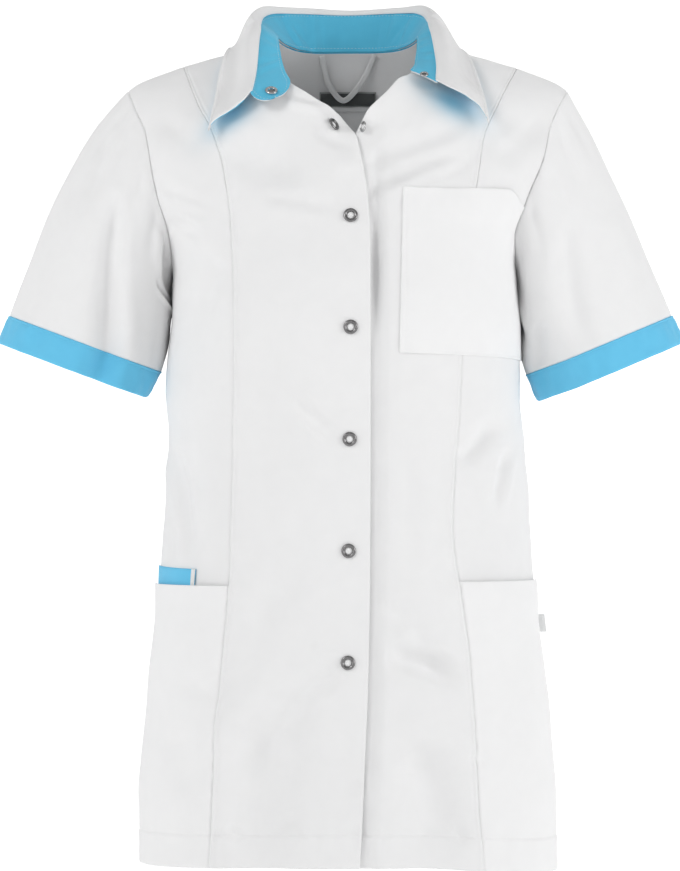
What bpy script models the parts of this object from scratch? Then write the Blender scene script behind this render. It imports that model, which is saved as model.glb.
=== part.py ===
"""Women's short-sleeved medical tunic, filled out as on a wearer and hollow inside.

Metres, +Z up. The front faces -Y and the wearer's left is +X. The origin is the middle of the
shoulder line, level with the points where the shoulder seams meet the neck. Every cloth piece is
a closed wall. The body pieces all lie on one body surface, so their seams meet, and each patch is
made from its panel's own points, moved out.
"""

import math
from collections import namedtuple

import bpy
import numpy as np

# Cloth and seams
CLOTH = 0.0012  # wall of a body panel or sleeve
PATCH = 0.0010  # wall of a pocket, collar or stand layer
CUFF_WALL = 0.0022  # the sleeve band is folded double
SEAM_GAP = 0.0003
LAYER_GAP = 0.0004  # between cloth and what lies on it
OVERLAP_DROP = 0.0031  # how far the under front lies below the front that laps it

# Heights on the body
HEM_Z = -0.712
HEM_DROP = {"right": 0.0020, "left": 0.0085}  # how much lower the hem hangs at each side seam
HEM_DROP_TOP_Z = -0.618
POCKET_MOUTH_Z = -0.470
PHONE_POCKET_TOP_Z = -0.457
PHONE_POCKET_FOOT_Z = -0.560
CHEST_POCKET_FOOT_Z = -0.272
ARMPIT_Z = -0.206
CHEST_POCKET_TOP_Z = -0.130

# The body's outline: half widths to the side seam and depths at the centre line
BodySection = namedtuple("BodySection", "z right left front back")
BODY_SECTIONS = (
    BodySection(z=-0.712, right=0.1812, left=0.1812, front=0.131, back=0.127),
    BodySection(z=-0.660, right=0.1800, left=0.1805, front=0.128, back=0.124),
    BodySection(z=-0.600, right=0.1755, left=0.1765, front=0.124, back=0.119),
    BodySection(z=-0.550, right=0.1710, left=0.1712, front=0.121, back=0.113),
    BodySection(z=-0.500, right=0.1655, left=0.1650, front=0.119, back=0.106),
    BodySection(z=-0.455, right=0.1612, left=0.1612, front=0.118, back=0.100),
    BodySection(z=-0.400, right=0.1585, left=0.1580, front=0.119, back=0.096),
    BodySection(z=-0.345, right=0.1562, left=0.1535, front=0.122, back=0.096),
    BodySection(z=-0.300, right=0.1580, left=0.1505, front=0.126, back=0.101),
    BodySection(z=-0.250, right=0.1525, left=0.1495, front=0.128, back=0.107),
    BodySection(z=-0.206, right=0.1487, left=0.1454, front=0.123, back=0.110),
    BodySection(z=-0.160, right=0.0, left=0.0, front=0.112, back=0.109),
    BodySection(z=-0.120, right=0.0, left=0.0, front=0.100, back=0.105),
    BodySection(z=-0.080, right=0.0, left=0.0, front=0.085, back=0.097),
    BodySection(z=-0.045, right=0.0, left=0.0, front=0.068, back=0.085),
    BodySection(z=-0.020, right=0.0, left=0.0, front=0.052, back=0.073),
    BodySection(z=0.004, right=0.0, left=0.0, front=0.038, back=0.062),
)
ROUNDNESS = 2.4  # exponent of the body's oval sections

# The armhole seam: its half width at each height, and its share of the body's depth there
ArmholeRow = namedtuple("ArmholeRow", "z right left depth_share")
ARMHOLE = (
    ArmholeRow(z=-0.206, right=0.1487, left=0.1454, depth_share=0.00),
    ArmholeRow(z=-0.190, right=0.1492, left=0.1437, depth_share=0.20),
    ArmholeRow(z=-0.170, right=0.1530, left=0.1438, depth_share=0.36),
    ArmholeRow(z=-0.140, right=0.1624, left=0.1545, depth_share=0.49),
    ArmholeRow(z=-0.110, right=0.1683, left=0.1656, depth_share=0.53),
    ArmholeRow(z=-0.080, right=0.1735, left=0.1745, depth_share=0.52),
    ArmholeRow(z=-0.060, right=0.1830, left=0.1815, depth_share=0.50),
    ArmholeRow(z=-0.041, right=0.1920, left=0.1915, depth_share=0.47),
)
SHOULDER_TIP_Z = -0.041
NECK_HALF_WIDTH = 0.062
NECK_POINT_Z = 0.003  # the neck end of the shoulder seam
SHOULDER_ROUNDING = 0.075  # height over which the shoulder turns from the chest to its seam

# The shoulder seam from the neck (share 0) to the tip (share 1). Below 0 it closes off the neck.
ShoulderRow = namedtuple("ShoulderRow", "share z")
SHOULDER = (
    ShoulderRow(share=-0.60, z=0.090),
    ShoulderRow(share=-0.20, z=0.030),
    ShoulderRow(share=0.00, z=NECK_POINT_Z),
    ShoulderRow(share=0.28, z=-0.0075),
    ShoulderRow(share=0.47, z=-0.0140),
    ShoulderRow(share=0.64, z=-0.0210),
    ShoulderRow(share=0.80, z=-0.0280),
    ShoulderRow(share=0.93, z=-0.0350),
    ShoulderRow(share=1.00, z=-0.0410),
)

# The princess seams, from the hem to the shoulder seam
PrincessRow = namedtuple("PrincessRow", "z right left")
PRINCESS = (
    PrincessRow(z=-0.712, right=0.1182, left=0.1157),
    PrincessRow(z=-0.600, right=0.1130, left=0.1086),
    PrincessRow(z=-0.530, right=0.1068, left=0.1030),
    PrincessRow(z=-0.470, right=0.1020, left=0.0950),
    PrincessRow(z=-0.420, right=0.1003, left=0.0895),
    PrincessRow(z=-0.330, right=0.0986, left=0.0945),
    PrincessRow(z=-0.220, right=0.0977, left=0.0995),
    PrincessRow(z=-0.160, right=0.1005, left=0.1050),
    PrincessRow(z=-0.115, right=0.1067, left=0.1125),
    PrincessRow(z=-0.080, right=0.1172, left=0.1190),
    PrincessRow(z=-0.055, right=0.1300, left=0.1300),
    PrincessRow(z=-0.0215, right=0.1430, left=0.1475),
)

# The front edges below the neck: the right front laps over the left
EdgeRow = namedtuple("EdgeRow", "z right left")
FRONT_EDGES = (
    EdgeRow(z=-0.712, right=0.0102, left=-0.0150),
    EdgeRow(z=-0.670, right=0.0125, left=-0.0150),
    EdgeRow(z=-0.620, right=0.0165, left=-0.0155),
    EdgeRow(z=-0.560, right=0.0196, left=-0.0160),
    EdgeRow(z=-0.470, right=0.0205, left=-0.0160),
    EdgeRow(z=-0.300, right=0.0212, left=-0.0160),
    EdgeRow(z=-0.170, right=0.0207, left=-0.0145),
    EdgeRow(z=-0.130, right=0.0179, left=-0.0110),
)

# The free edge and neckline of each front above that, as x and height, up to the shoulder seam
NeckPoint = namedtuple("NeckPoint", "x z")
RIGHT_NECK = (
    NeckPoint(x=0.0179, z=-0.1300),
    NeckPoint(x=0.0120, z=-0.1020),
    NeckPoint(x=0.0058, z=-0.0820),
    NeckPoint(x=-0.0061, z=-0.0652),
    NeckPoint(x=-0.0181, z=-0.0570),
    NeckPoint(x=-0.0353, z=-0.0467),
    NeckPoint(x=-0.0509, z=-0.0365),
    NeckPoint(x=-0.0563, z=-0.0249),
    NeckPoint(x=-0.0602, z=-0.0080),
    NeckPoint(x=-NECK_HALF_WIDTH, z=NECK_POINT_Z),
)
LEFT_NECK = (
    NeckPoint(x=-0.0110, z=-0.1300),
    NeckPoint(x=-0.0060, z=-0.1080),
    NeckPoint(x=0.0060, z=-0.0820),
    NeckPoint(x=0.0170, z=-0.0640),
    NeckPoint(x=0.0335, z=-0.0480),
    NeckPoint(x=0.0430, z=-0.0370),
    NeckPoint(x=0.0525, z=-0.0325),
    NeckPoint(x=0.0590, z=-0.0200),
    NeckPoint(x=0.0612, z=-0.0070),
    NeckPoint(x=NECK_HALF_WIDTH, z=NECK_POINT_Z),
)
BACK_NECK_DROP = 0.0045  # how far the back neckline lies below the origin at the centre

# Soft folds of the body. Each runs from one point to another across the front or the back.
Fold = namedtuple("Fold", "sheet x0 z0 x1 z1 width depth")
BODY_FOLDS = (
    Fold("front", x0=-0.020, z0=-0.545, x1=-0.095, z1=-0.640, width=0.022, depth=-0.0035),
    Fold("front", x0=0.050, z0=-0.520, x1=0.092, z1=-0.550, width=0.016, depth=-0.0030),
    Fold("front", x0=0.060, z0=-0.585, x1=0.070, z1=-0.712, width=0.026, depth=-0.0050),
    Fold("front", x0=-0.075, z0=-0.600, x1=-0.080, z1=-0.712, width=0.024, depth=-0.0045),
    Fold("front", x0=0.125, z0=-0.330, x1=0.098, z1=-0.372, width=0.013, depth=-0.0028),
    Fold("front", x0=-0.150, z0=-0.360, x1=-0.128, z1=-0.450, width=0.013, depth=-0.0030),
    Fold("front", x0=-0.125, z0=-0.215, x1=-0.140, z1=-0.290, width=0.016, depth=-0.0030),
    Fold("front", x0=0.075, z0=-0.150, x1=0.130, z1=-0.060, width=0.016, depth=-0.0030),
    Fold("front", x0=-0.070, z0=-0.085, x1=-0.045, z1=-0.125, width=0.024, depth=-0.0030),
    Fold("back", x0=-0.070, z0=-0.330, x1=-0.085, z1=-0.712, width=0.030, depth=-0.0060),
    Fold("back", x0=0.060, z0=-0.350, x1=0.080, z1=-0.712, width=0.028, depth=-0.0060),
    Fold("back", x0=0.000, z0=-0.420, x1=-0.005, z1=-0.712, width=0.034, depth=0.0045),
    Fold("back", x0=-0.130, z0=-0.150, x1=-0.070, z1=-0.230, width=0.018, depth=-0.0040),
    Fold("back", x0=0.125, z0=-0.150, x1=0.070, z1=-0.225, width=0.018, depth=-0.0035),
    Fold("back", x0=-0.060, z0=-0.330, x1=0.060, z1=-0.345, width=0.014, depth=-0.0030),
)
BUST_FULLNESS = 0.006
BUST_X, BUST_Z = 0.083, -0.238
BUST_WIDTH, BUST_HEIGHT = 0.045, 0.055
GAPE_DEPTH = 0.0060  # where the under front falls away from the lapping edge
GAPE_Z, GAPE_HEIGHT = -0.205, 0.040
LAPEL_ROLL = 0.006  # how far the open left lapel turns out

# Panel columns, counted from the front edge to the side seam
CENTRE_COLUMNS_IN = 4  # from the front edge to the chest pocket's inner edge
CENTRE_COLUMNS_OUT = 4  # from there to the princess seam
SIDE_COLUMNS = 7
BACK_COLUMNS = 12  # on each side of the centre back
NECK_COLUMNS = 4  # those of them that end at the neck
POCKET_FULLNESS = 0.0016  # how far a lower pocket stands off its panel in the middle
PHONE_POCKET_COLUMN = 2  # the phone pocket's inner edge, counted from the princess seam
CHEST_POCKET_TOP_X, CHEST_POCKET_FOOT_X = 0.0470, 0.0437  # its inner edge
LEVELS = (
    HEM_Z, -0.684, -0.648, -0.618, -0.588, PHONE_POCKET_FOOT_Z, -0.530, -0.500, POCKET_MOUTH_Z,
    PHONE_POCKET_TOP_Z, -0.430, -0.400, -0.370, -0.340, -0.310, CHEST_POCKET_FOOT_Z, -0.250,
    -0.228, ARMPIT_Z, -0.190, -0.170, -0.150, CHEST_POCKET_TOP_Z,
)  # the heights of the level rows of points
TOP_ROWS = 7  # rows from the chest pocket's top to the shoulder seam

# Sleeves: the middle of each sleeve's end, its tilt from upright, and its sizes there
Sleeve = namedtuple("Sleeve", "side end_x end_z tilt half_width half_depth tuck start_slope "
                    "underarm_slope inner_rise")
SLEEVES = {
    "right": Sleeve(side=-1, end_x=0.2315, end_z=-0.2620, tilt=20.5,
                    half_width=0.0688, half_depth=0.056, tuck=0.013, start_slope=44,
                    underarm_slope=77, inner_rise=0.003),
    "left": Sleeve(side=1, end_x=0.2204, end_z=-0.2640, tilt=22.8,
                   half_width=0.0680, half_depth=0.056, tuck=0.010, start_slope=60,
                   underarm_slope=69, inner_rise=0.007),
}
# The slopes are how steeply a sleeve leaves the shoulder and the armpit, in degrees below level.
SLEEVE_ROWS = 11
CUFF_HEIGHT = 0.0255
CUFF_FLARE = 0.0012
CUFF_ROWS = 2
SleeveFold = namedtuple("SleeveFold", "sleeve turn width start depth")
SLEEVE_FOLDS = (
    SleeveFold("right", turn=88, width=17, start=0.30, depth=-0.0085),
    SleeveFold("right", turn=128, width=14, start=0.45, depth=-0.0040),
    SleeveFold("right", turn=250, width=20, start=0.30, depth=-0.0060),
    SleeveFold("left", turn=75, width=16, start=0.35, depth=-0.0035),
    SleeveFold("left", turn=128, width=16, start=0.55, depth=-0.0055),
    SleeveFold("left", turn=255, width=20, start=0.30, depth=-0.0060),
)

# The collar, from the right front end round the back to the left front end. Walk is the place
# on the neck seam: 0 at the centre back, 1 at the shoulder seam, 2 at the end of the stand, and
# below 0 on the right. Fold is where the collar turns over, edge is its outer edge.
Station = namedtuple("Station", "name walk fold edge")
COLLAR = (
    Station("right end", -2.00, (-0.0845, -0.0790, -0.0465), (-0.1193, -0.0890, -0.0824)),
    Station("right front", -1.60, (-0.0812, -0.0560, -0.0290), (-0.1160, -0.0690, -0.0560)),
    Station("right side", -1.15, (-0.0785, -0.0100, 0.0090), (-0.1065, -0.0140, -0.0070)),
    Station("right back", -0.72, (-0.0690, 0.0480, 0.0300), (-0.0900, 0.0740, -0.0110)),
    Station("centre back", 0.00, (0.0000, 0.0760, 0.0330), (0.0000, 0.1010, -0.0190)),
    Station("left back", 0.72, (0.0610, 0.0500, 0.0310), (0.0900, 0.0740, -0.0110)),
    Station("left side", 1.15, (0.0730, -0.0080, 0.0130), (0.1035, -0.0140, -0.0080)),
    Station("left front", 1.60, (0.0780, -0.0500, -0.0170), (0.1175, -0.0670, -0.0480)),
    Station("left end", 2.00, (0.0775, -0.0740, -0.0375), (0.1226, -0.0830, -0.0732)),
)
STAND_END_Z = {"right": -0.0365, "left": -0.0325}  # where the stand's ends lie on the neckline
COLLAR_COLUMNS = 36
STAND_ROWS = 3
LEAF_ROWS = 7
ROLL_RISE = 0.020  # how far the fold's curve is pulled up above the stand
LEAF_STANDOFF = 0.013  # and out from it
LEAF_START_RISE = 0.003  # how far above the fold the leaf's outward pull starts
LEAF_PULL = 0.78  # how far that pull reaches from the edge, as a share
UNDER_COLLAR_ROW = 2  # the row of the leaf where the under collar begins
EDGE_INSET = 0.10  # how far the under collar stays inside the leaf's edge, as a share of a row
TAB_LENGTH = 0.0140  # the rounded right end of the stand, past its last station
TAB_COLUMNS = 4

# Snap fasteners
SNAP_RADIUS = 0.0062
SNAP_HOLE = 0.0031
SNAP_HEIGHT = 0.0018
SNAP_SIDES = 18
SNAP_X = 0.0033
TOP_SNAP_Z = -0.1544
SNAP_SPACING = 0.0956
CLOSED_SNAPS = 5
SNAP_SEAT = 0.0007  # from a panel's curved face to the flat back of a snap

OPEN_RING = NeckPoint(x=-0.0125, z=-0.0762)
OPEN_STUD = NeckPoint(x=0.0165, z=-0.0800)

# Labels and the hanging loop
LABEL_WIDTH, LABEL_HEIGHT = 0.050, 0.0130
LABEL_TOP_Z = -0.0366
LABEL_THICKNESS = 0.0010
LABEL_STANDOFF = 0.0014
SIDE_LABEL_TOP_Z = -0.4990
SIDE_LABEL_HEIGHT = 0.0150
SIDE_LABEL_REACH = 0.0050
SIDE_LABEL_THICKNESS = 0.0012
LOOP_WIDTH = 0.0048
LOOP_THICKNESS = 0.0010
LOOP_PATH = (NeckPoint(-0.0240, -0.0050), NeckPoint(-0.0215, -0.0160), NeckPoint(-0.0165, -0.0300),
             NeckPoint(-0.0045, -0.0430), NeckPoint(0.0080, -0.0330), NeckPoint(0.0180, -0.0180),
             NeckPoint(0.0240, -0.0050))
LOOP_STANDOFF = 0.0036  # where the loop hangs free, and much less where it is sewn in
LOOP_SEAM_STANDOFF = 0.0009

WHITE = (0.86, 0.87, 0.88)
BLUE = (0.085, 0.47, 0.72)
STEEL = (0.42, 0.42, 0.44)
LABEL_GREY = (0.09, 0.10, 0.10)


# Smooth curves through tables

def smooth(xs, ys):
    """A function that runs through the points smoothly and never overshoots them."""
    xs, ys = np.asarray(xs, float), np.asarray(ys, float)
    slopes = np.diff(ys) / np.diff(xs)
    tangents = np.concatenate([[slopes[0]], np.zeros(len(xs) - 2), [slopes[-1]]])
    for i in range(1, len(xs) - 1):
        before, after = slopes[i - 1], slopes[i]
        if before * after > 0:
            tangents[i] = 2 * before * after / (before + after)

    def value(x):
        x = np.clip(np.asarray(x, float), xs[0], xs[-1])
        i = np.clip(np.searchsorted(xs, x, side="right") - 1, 0, len(xs) - 2)
        step = xs[i + 1] - xs[i]
        t = (x - xs[i]) / step
        rise = ys[i + 1] - ys[i]
        return (ys[i] + step * tangents[i] * t * (1 - t) ** 2
                + rise * t * t * (3 - 2 * t) + step * tangents[i + 1] * t * t * (t - 1))

    return value


def column(rows, key, name):
    return smooth([getattr(r, key) for r in rows], [getattr(r, name) for r in rows])


def spline(points, counts):
    """Points along a Catmull-Rom curve through the given points, counts of them to each span."""
    points = np.asarray(points, float)
    padded = np.vstack([2 * points[0] - points[1], points, 2 * points[-1] - points[-2]])
    made = []
    for i, count in enumerate(counts):
        p0, p1, p2, p3 = padded[i:i + 4]
        for t in np.arange(count) / count:
            made.append(0.5 * (2 * p1 + (p2 - p0) * t + (2 * p0 - 5 * p1 + 4 * p2 - p3) * t ** 2
                               + (3 * p1 - p0 - 3 * p2 + p3) * t ** 3))
    made.append(points[-1])
    return np.array(made)


def along(points, shares):
    """Points at these shares of the length of a polyline."""
    points = np.asarray(points, float)
    lengths = np.concatenate([[0], np.cumsum(np.linalg.norm(np.diff(points, axis=0), axis=1))])
    at = np.asarray(shares) * lengths[-1]
    return np.stack([np.interp(at, lengths, points[:, k]) for k in range(points.shape[1])], axis=1)


def smoothstep(low, high, x):
    t = np.clip((np.asarray(x, float) - low) / (high - low), 0, 1)
    return t * t * (3 - 2 * t)


def bell(x):
    return np.exp(-np.square(x))


LOWER_SECTIONS = [s for s in BODY_SECTIONS if s.z <= ARMPIT_Z]
SIDE_WIDTH = {"right": column(LOWER_SECTIONS, "z", "right"),
              "left": column(LOWER_SECTIONS, "z", "left")}
DEPTH = {"front": column(BODY_SECTIONS, "z", "front"), "back": column(BODY_SECTIONS, "z", "back")}
ARMHOLE_X = {"right": column(ARMHOLE, "z", "right"), "left": column(ARMHOLE, "z", "left")}
ARMHOLE_SHARE = column(ARMHOLE, "z", "depth_share")
PRINCESS_X = {"right": column(PRINCESS, "z", "right"), "left": column(PRINCESS, "z", "left")}
EDGE_X = {"right": column(FRONT_EDGES, "z", "right"), "left": column(FRONT_EDGES, "z", "left")}
SHOULDER_Z = column(SHOULDER, "share", "z")
SIGN = {"right": -1, "left": 1}


# The body surface

def half_width(side, z):
    """Half width of the body's oval. Above the armpit the armhole seam cuts the oval short."""
    share = ARMHOLE_SHARE(z)
    cut = (1 - share ** ROUNDNESS) ** (1 / ROUNDNESS)
    return np.where(z <= ARMPIT_Z, SIDE_WIDTH[side](z), ARMHOLE_X[side](z) / cut)


def outer_x(side, z):
    """The side seam below the armpit, and the armhole seam above it."""
    return np.where(z <= ARMPIT_Z, SIDE_WIDTH[side](z), ARMHOLE_X[side](z))


def shoulder_height(side, x):
    tip = ARMHOLE_X[side](SHOULDER_TIP_Z)
    return SHOULDER_Z((np.abs(x) - NECK_HALF_WIDTH) / (tip - NECK_HALF_WIDTH))


def angle_of(side, x, z):
    """The oval's angle, 0 at the centre line and a quarter turn at the side seam."""
    share = np.clip(np.abs(x) / half_width(side, z), 0, 1)
    return np.sign(x) * np.arcsin(share ** (ROUNDNESS / 2))


def fold_relief(sheet, x, z):
    relief = np.zeros(np.broadcast(x, z).shape)
    for fold in BODY_FOLDS:
        if fold.sheet != sheet:
            continue
        run = np.array([fold.x1 - fold.x0, fold.z1 - fold.z0])
        length = np.linalg.norm(run)
        run = run / length
        ahead = (x - fold.x0) * run[0] + (z - fold.z0) * run[1]
        aside = (x - fold.x0) * run[1] - (z - fold.z0) * run[0]
        fade = smoothstep(-0.25, 0.35, ahead / length)
        if fold.z1 > HEM_Z:
            fade = fade * (1 - smoothstep(0.65, 1.25, ahead / length))
        relief = relief + fold.depth * bell(aside / fold.width) * fade
    return relief


def body_base(side, sheet, angle, z):
    """A point of the unfolded body surface, the outer face of the cloth."""
    sin, cos = np.sin(angle), np.cos(angle)
    x = half_width(side, z) * np.sign(sin) * np.abs(sin) ** (2 / ROUNDNESS)
    depth = DEPTH[sheet](z) * np.sign(cos) * np.abs(cos) ** (2 / ROUNDNESS)
    if sheet == "front":
        depth = depth + BUST_FULLNESS * bell((x - BUST_X) / BUST_WIDTH) \
            * bell((z - BUST_Z) / BUST_HEIGHT) * smoothstep(0, 0.5, cos)
    below = np.clip((shoulder_height(side, x) - z) / SHOULDER_ROUNDING, 0, 1)
    depth = depth * np.sqrt(1 - (1 - below) ** 2)
    y = -depth if sheet == "front" else depth
    return np.stack(np.broadcast_arrays(SIGN[side] * x, y, z), axis=-1)


def body_normal(side, sheet, angle, z):
    turn, drop = 0.01, 0.0002
    across = body_base(side, sheet, angle + turn, z) - body_base(side, sheet, angle - turn, z)
    up = body_base(side, sheet, angle, z) - body_base(side, sheet, angle, z - drop)
    normal = np.cross(across, up) * SIGN[side] * (1 if sheet == "front" else -1)
    return normal / np.linalg.norm(normal, axis=-1, keepdims=True)


def body_face(side, sheet, x, z):
    """Points of the folded outer face and the directions out of it, where x runs from the centre."""
    x, z = np.broadcast_arrays(np.asarray(x, float), np.asarray(z, float))
    angle = angle_of(side, x, z)
    normals = body_normal(side, sheet, angle, z)
    relief = fold_relief(sheet, SIGN[side] * x, z)
    return body_base(side, sheet, angle, z) + normals * relief[..., None], normals


# Closed walls

def clear_scene():
    for obj in list(bpy.data.objects):
        bpy.data.objects.remove(obj, do_unlink=True)


def material(name, colour, roughness, metallic=0.0):
    made = bpy.data.materials.get(name) or bpy.data.materials.new(name)
    made.use_nodes = True
    shader = made.node_tree.nodes["Principled BSDF"]
    shader.inputs["Base Color"].default_value = (*colour, 1.0)
    shader.inputs["Roughness"].default_value = roughness
    shader.inputs["Metallic"].default_value = metallic
    return made


def cloth_white():
    return material("white cloth", WHITE, 0.85)


def cloth_blue():
    return material("blue cloth", BLUE, 0.82)


def steel():
    return material("snap steel", STEEL, 0.3, 1.0)


def label_cloth():
    return material("label weave", LABEL_GREY, 0.7)


def add_object(name, points, faces, look):
    mesh = bpy.data.meshes.new(name)
    mesh.from_pydata([tuple(map(float, p)) for p in points], [], faces)
    mesh.validate()
    mesh.update()
    mesh.shade_smooth()
    mesh.set_sharp_from_angle(angle=math.radians(50))
    mesh.materials.append(look)
    obj = bpy.data.objects.new(name, mesh)
    bpy.context.scene.collection.objects.link(obj)
    return obj


def grid_faces(rows, columns, around):
    """Triangles of a grid of points, all cut on one diagonal so that layers made from it nest."""
    faces = []
    for i in range(rows - 1):
        for j in range(columns if around else columns - 1):
            k = (j + 1) % columns
            low, high = i * columns, (i + 1) * columns
            faces.append((low + j, low + k, high + k))
            faces.append((low + j, high + k, high + j))
    return faces


def rim_loop(rows, columns):
    """The border points of a grid, in order."""
    bottom = [(0, j) for j in range(columns)]
    right = [(i, columns - 1) for i in range(1, rows)]
    top = [(rows - 1, j) for j in range(columns - 2, -1, -1)]
    left = [(i, 0) for i in range(rows - 2, 0, -1)]
    return [i * columns + j for i, j in bottom + right + top + left]


def wall(name, outer, inner, look, around=False):
    """A closed wall between two grids of points of the same shape."""
    rows, columns = outer.shape[:2]
    count = rows * columns
    points = np.vstack([outer.reshape(-1, 3), inner.reshape(-1, 3)])
    faces = grid_faces(rows, columns, around)
    faces += [tuple(i + count for i in reversed(face)) for face in faces]
    if around:
        loops = [[j for j in range(columns)], [(rows - 1) * columns + j for j in range(columns)][::-1]]
    else:
        loops = [rim_loop(rows, columns)]
    for loop in loops:
        for a, b in zip(loop, loop[1:] + loop[:1]):
            faces.append((b, a, a + count))
            faces.append((b, a + count, b + count))
    obj = add_object(name, points, faces, look)
    if signed_volume(points, faces) < 0:
        obj.data.flip_normals()
    return obj


def signed_volume(points, faces):
    total = 0.0
    for face in faces:
        fan = [points[i] for i in face]
        for b, c in zip(fan[1:], fan[2:]):
            total += np.dot(fan[0], np.cross(b, c))
    return total


# Rows of points shared by the body panels

def hung(side, x, z):
    """A panel's points with the hem lower towards the side seam, as wide as the body is there."""
    width = half_width(side, z)
    drop = HEM_DROP[side] * smoothstep(0.3, 1.0, np.abs(x) / width)
    lowered = z - drop * (1 - smoothstep(HEM_Z, HEM_DROP_TOP_Z, z))
    return x * half_width(side, lowered) / width, lowered


def top_shares():
    """Shares of the way from the chest pocket's top to the shoulder, closer together above."""
    return [1 - (1 - k / TOP_ROWS) ** 2 for k in range(1, TOP_ROWS + 1)]


def princess_rows(side):
    z = list(LEVELS)
    top = shoulder_height(side, PRINCESS_X[side](PRINCESS[-1].z))
    z += [CHEST_POCKET_TOP_Z + (top - CHEST_POCKET_TOP_Z) * t for t in top_shares()]
    z = np.array(z)
    return PRINCESS_X[side](z), z


def outer_rows(side):
    z = list(LEVELS)
    z += [CHEST_POCKET_TOP_Z + (SHOULDER_TIP_Z - CHEST_POCKET_TOP_Z) * t for t in top_shares()]
    z = np.array(z)
    return outer_x(side, z), z


def front_edge_rows(side):
    """The front edge up to the chest, then the lapel edge and neckline up to the shoulder."""
    level = np.array(LEVELS)
    neck = RIGHT_NECK if side == "right" else LEFT_NECK
    shares = np.arange(1, TOP_ROWS + 1) / TOP_ROWS
    points = along([(p.x, p.z) for p in neck], shares)
    corner = int(np.argmin(np.abs(points[:, 0] - neck[3].x) + np.abs(points[:, 1] - neck[3].z)))
    points[corner] = (neck[3].x, neck[3].z)
    x = np.concatenate([EDGE_X[side](level), points[:, 0]])
    return SIGN[side] * x, np.concatenate([level, points[:, 1]])


def pocket_edge_rows(z_rows):
    """The line of points that the chest pocket's inner edge follows, mirrored on the right."""
    down = (CHEST_POCKET_TOP_Z - z_rows) / (CHEST_POCKET_TOP_Z - CHEST_POCKET_FOOT_Z)
    return CHEST_POCKET_TOP_X + (CHEST_POCKET_FOOT_X - CHEST_POCKET_TOP_X) * down


def centre_grid(side):
    """x (measured towards the side seam) and z of the centre front panel's points."""
    edge_x, edge_z = front_edge_rows(side)
    seam_x, seam_z = princess_rows(side)
    seam_x = seam_x - SEAM_GAP / 2
    total = CENTRE_COLUMNS_IN + CENTRE_COLUMNS_OUT
    levels = len(LEVELS)
    mid_share = np.empty(len(seam_z))
    mid_x = pocket_edge_rows(seam_z[:levels])
    mid_share[:levels] = (mid_x - edge_x[:levels]) / (seam_x[:levels] - edge_x[:levels])
    fade = np.array(top_shares())
    mid_share[levels:] = mid_share[levels - 1] * (1 - fade) + CENTRE_COLUMNS_IN / total * fade
    shares = np.empty((len(seam_z), total + 1))
    for i, mid in enumerate(mid_share):
        shares[i] = np.concatenate([np.linspace(0, mid, CENTRE_COLUMNS_IN + 1),
                                    np.linspace(mid, 1, CENTRE_COLUMNS_OUT + 1)[1:]])
    x = edge_x[:, None] + (seam_x - edge_x)[:, None] * shares
    z = edge_z[:, None] + (seam_z - edge_z)[:, None] * shares
    z[levels:] += follow_shoulder(side, x, z)
    return hung(side, x, z)


def follow_shoulder(side, x, z):
    """How far to lift the rows above the pocket's top so that the last one lies on the seam."""
    rise = shoulder_height(side, x[-1]) - z[-1]
    return rise * (np.array(top_shares())[:, None]) ** 2


def side_grid(side):
    """x and z of the side front panel, evenly spaced round the body."""
    seam_x, seam_z = princess_rows(side)
    end_x, end_z = outer_rows(side)
    start = angle_of(side, seam_x + SEAM_GAP / 2, seam_z)
    end = angle_of(side, end_x, end_z)
    shares = np.linspace(0, 1, SIDE_COLUMNS + 1)
    angle = start[:, None] + (end - start)[:, None] * shares
    z = seam_z[:, None] + (end_z - seam_z)[:, None] * shares
    x = half_width(side, z) * np.sin(angle) ** (2 / ROUNDNESS)
    x[:, -1] = end_x
    z[len(LEVELS):] += follow_shoulder(side, x, z)
    return hung(side, x, z)


def sleeve_start(side, sheet, z):
    """At the armhole seam: the points, the panel's normal and the way the sleeve leaves."""
    points, normals = body_face(side, sheet, outer_x(side, z), z)
    down = (SHOULDER_TIP_Z - z) / (SHOULDER_TIP_Z - ARMPIT_Z)
    start, foot = SLEEVES[side].start_slope, SLEEVES[side].underarm_slope
    slope = np.radians(start + (foot - start) * down)
    ways = np.stack([np.cos(slope), np.zeros(len(z)), -np.sin(slope)], axis=1)
    ways = ways / np.linalg.norm(ways, axis=1, keepdims=True)
    ways[:, 0] *= SIGN[side]
    return points, normals, ways


def mitred(panel_normals, sleeve_normals, ways):
    """Both walls lean to one shared plane where the armhole seam is a ridge."""
    ridge = smoothstep(0.0, 0.2, -np.sum(panel_normals * ways, axis=1))[:, None]
    shared = panel_normals + sleeve_normals
    shared = shared / np.linalg.norm(shared, axis=1, keepdims=True)
    lean = []
    for normals in (panel_normals, sleeve_normals):
        mixed = normals + (shared - normals) * ridge
        mixed = mixed / np.linalg.norm(mixed, axis=1, keepdims=True)
        lean.append(mixed / np.maximum(np.sum(mixed * normals, axis=1, keepdims=True), 0.6))
    return lean


def armhole_ring(side):
    """The armhole loop from the shoulder tip down the front and up the back."""
    z = outer_rows(side)[1]
    z = z[z >= ARMPIT_Z - 1e-9]
    front = sleeve_start(side, "front", z[::-1])
    back = sleeve_start(side, "back", z[1:-1])
    points, normals, ways = (np.vstack([f, b]) for f, b in zip(front, back))
    loop = np.roll(points, -1, axis=0) - np.roll(points, 1, axis=0)
    sleeve_normals = np.cross(loop, ways) * SIGN[side]
    sleeve_normals /= np.linalg.norm(sleeve_normals, axis=1, keepdims=True)
    panel_lean, sleeve_lean = mitred(normals, sleeve_normals, ways)
    return z, points, ways, panel_lean, sleeve_lean


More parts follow.
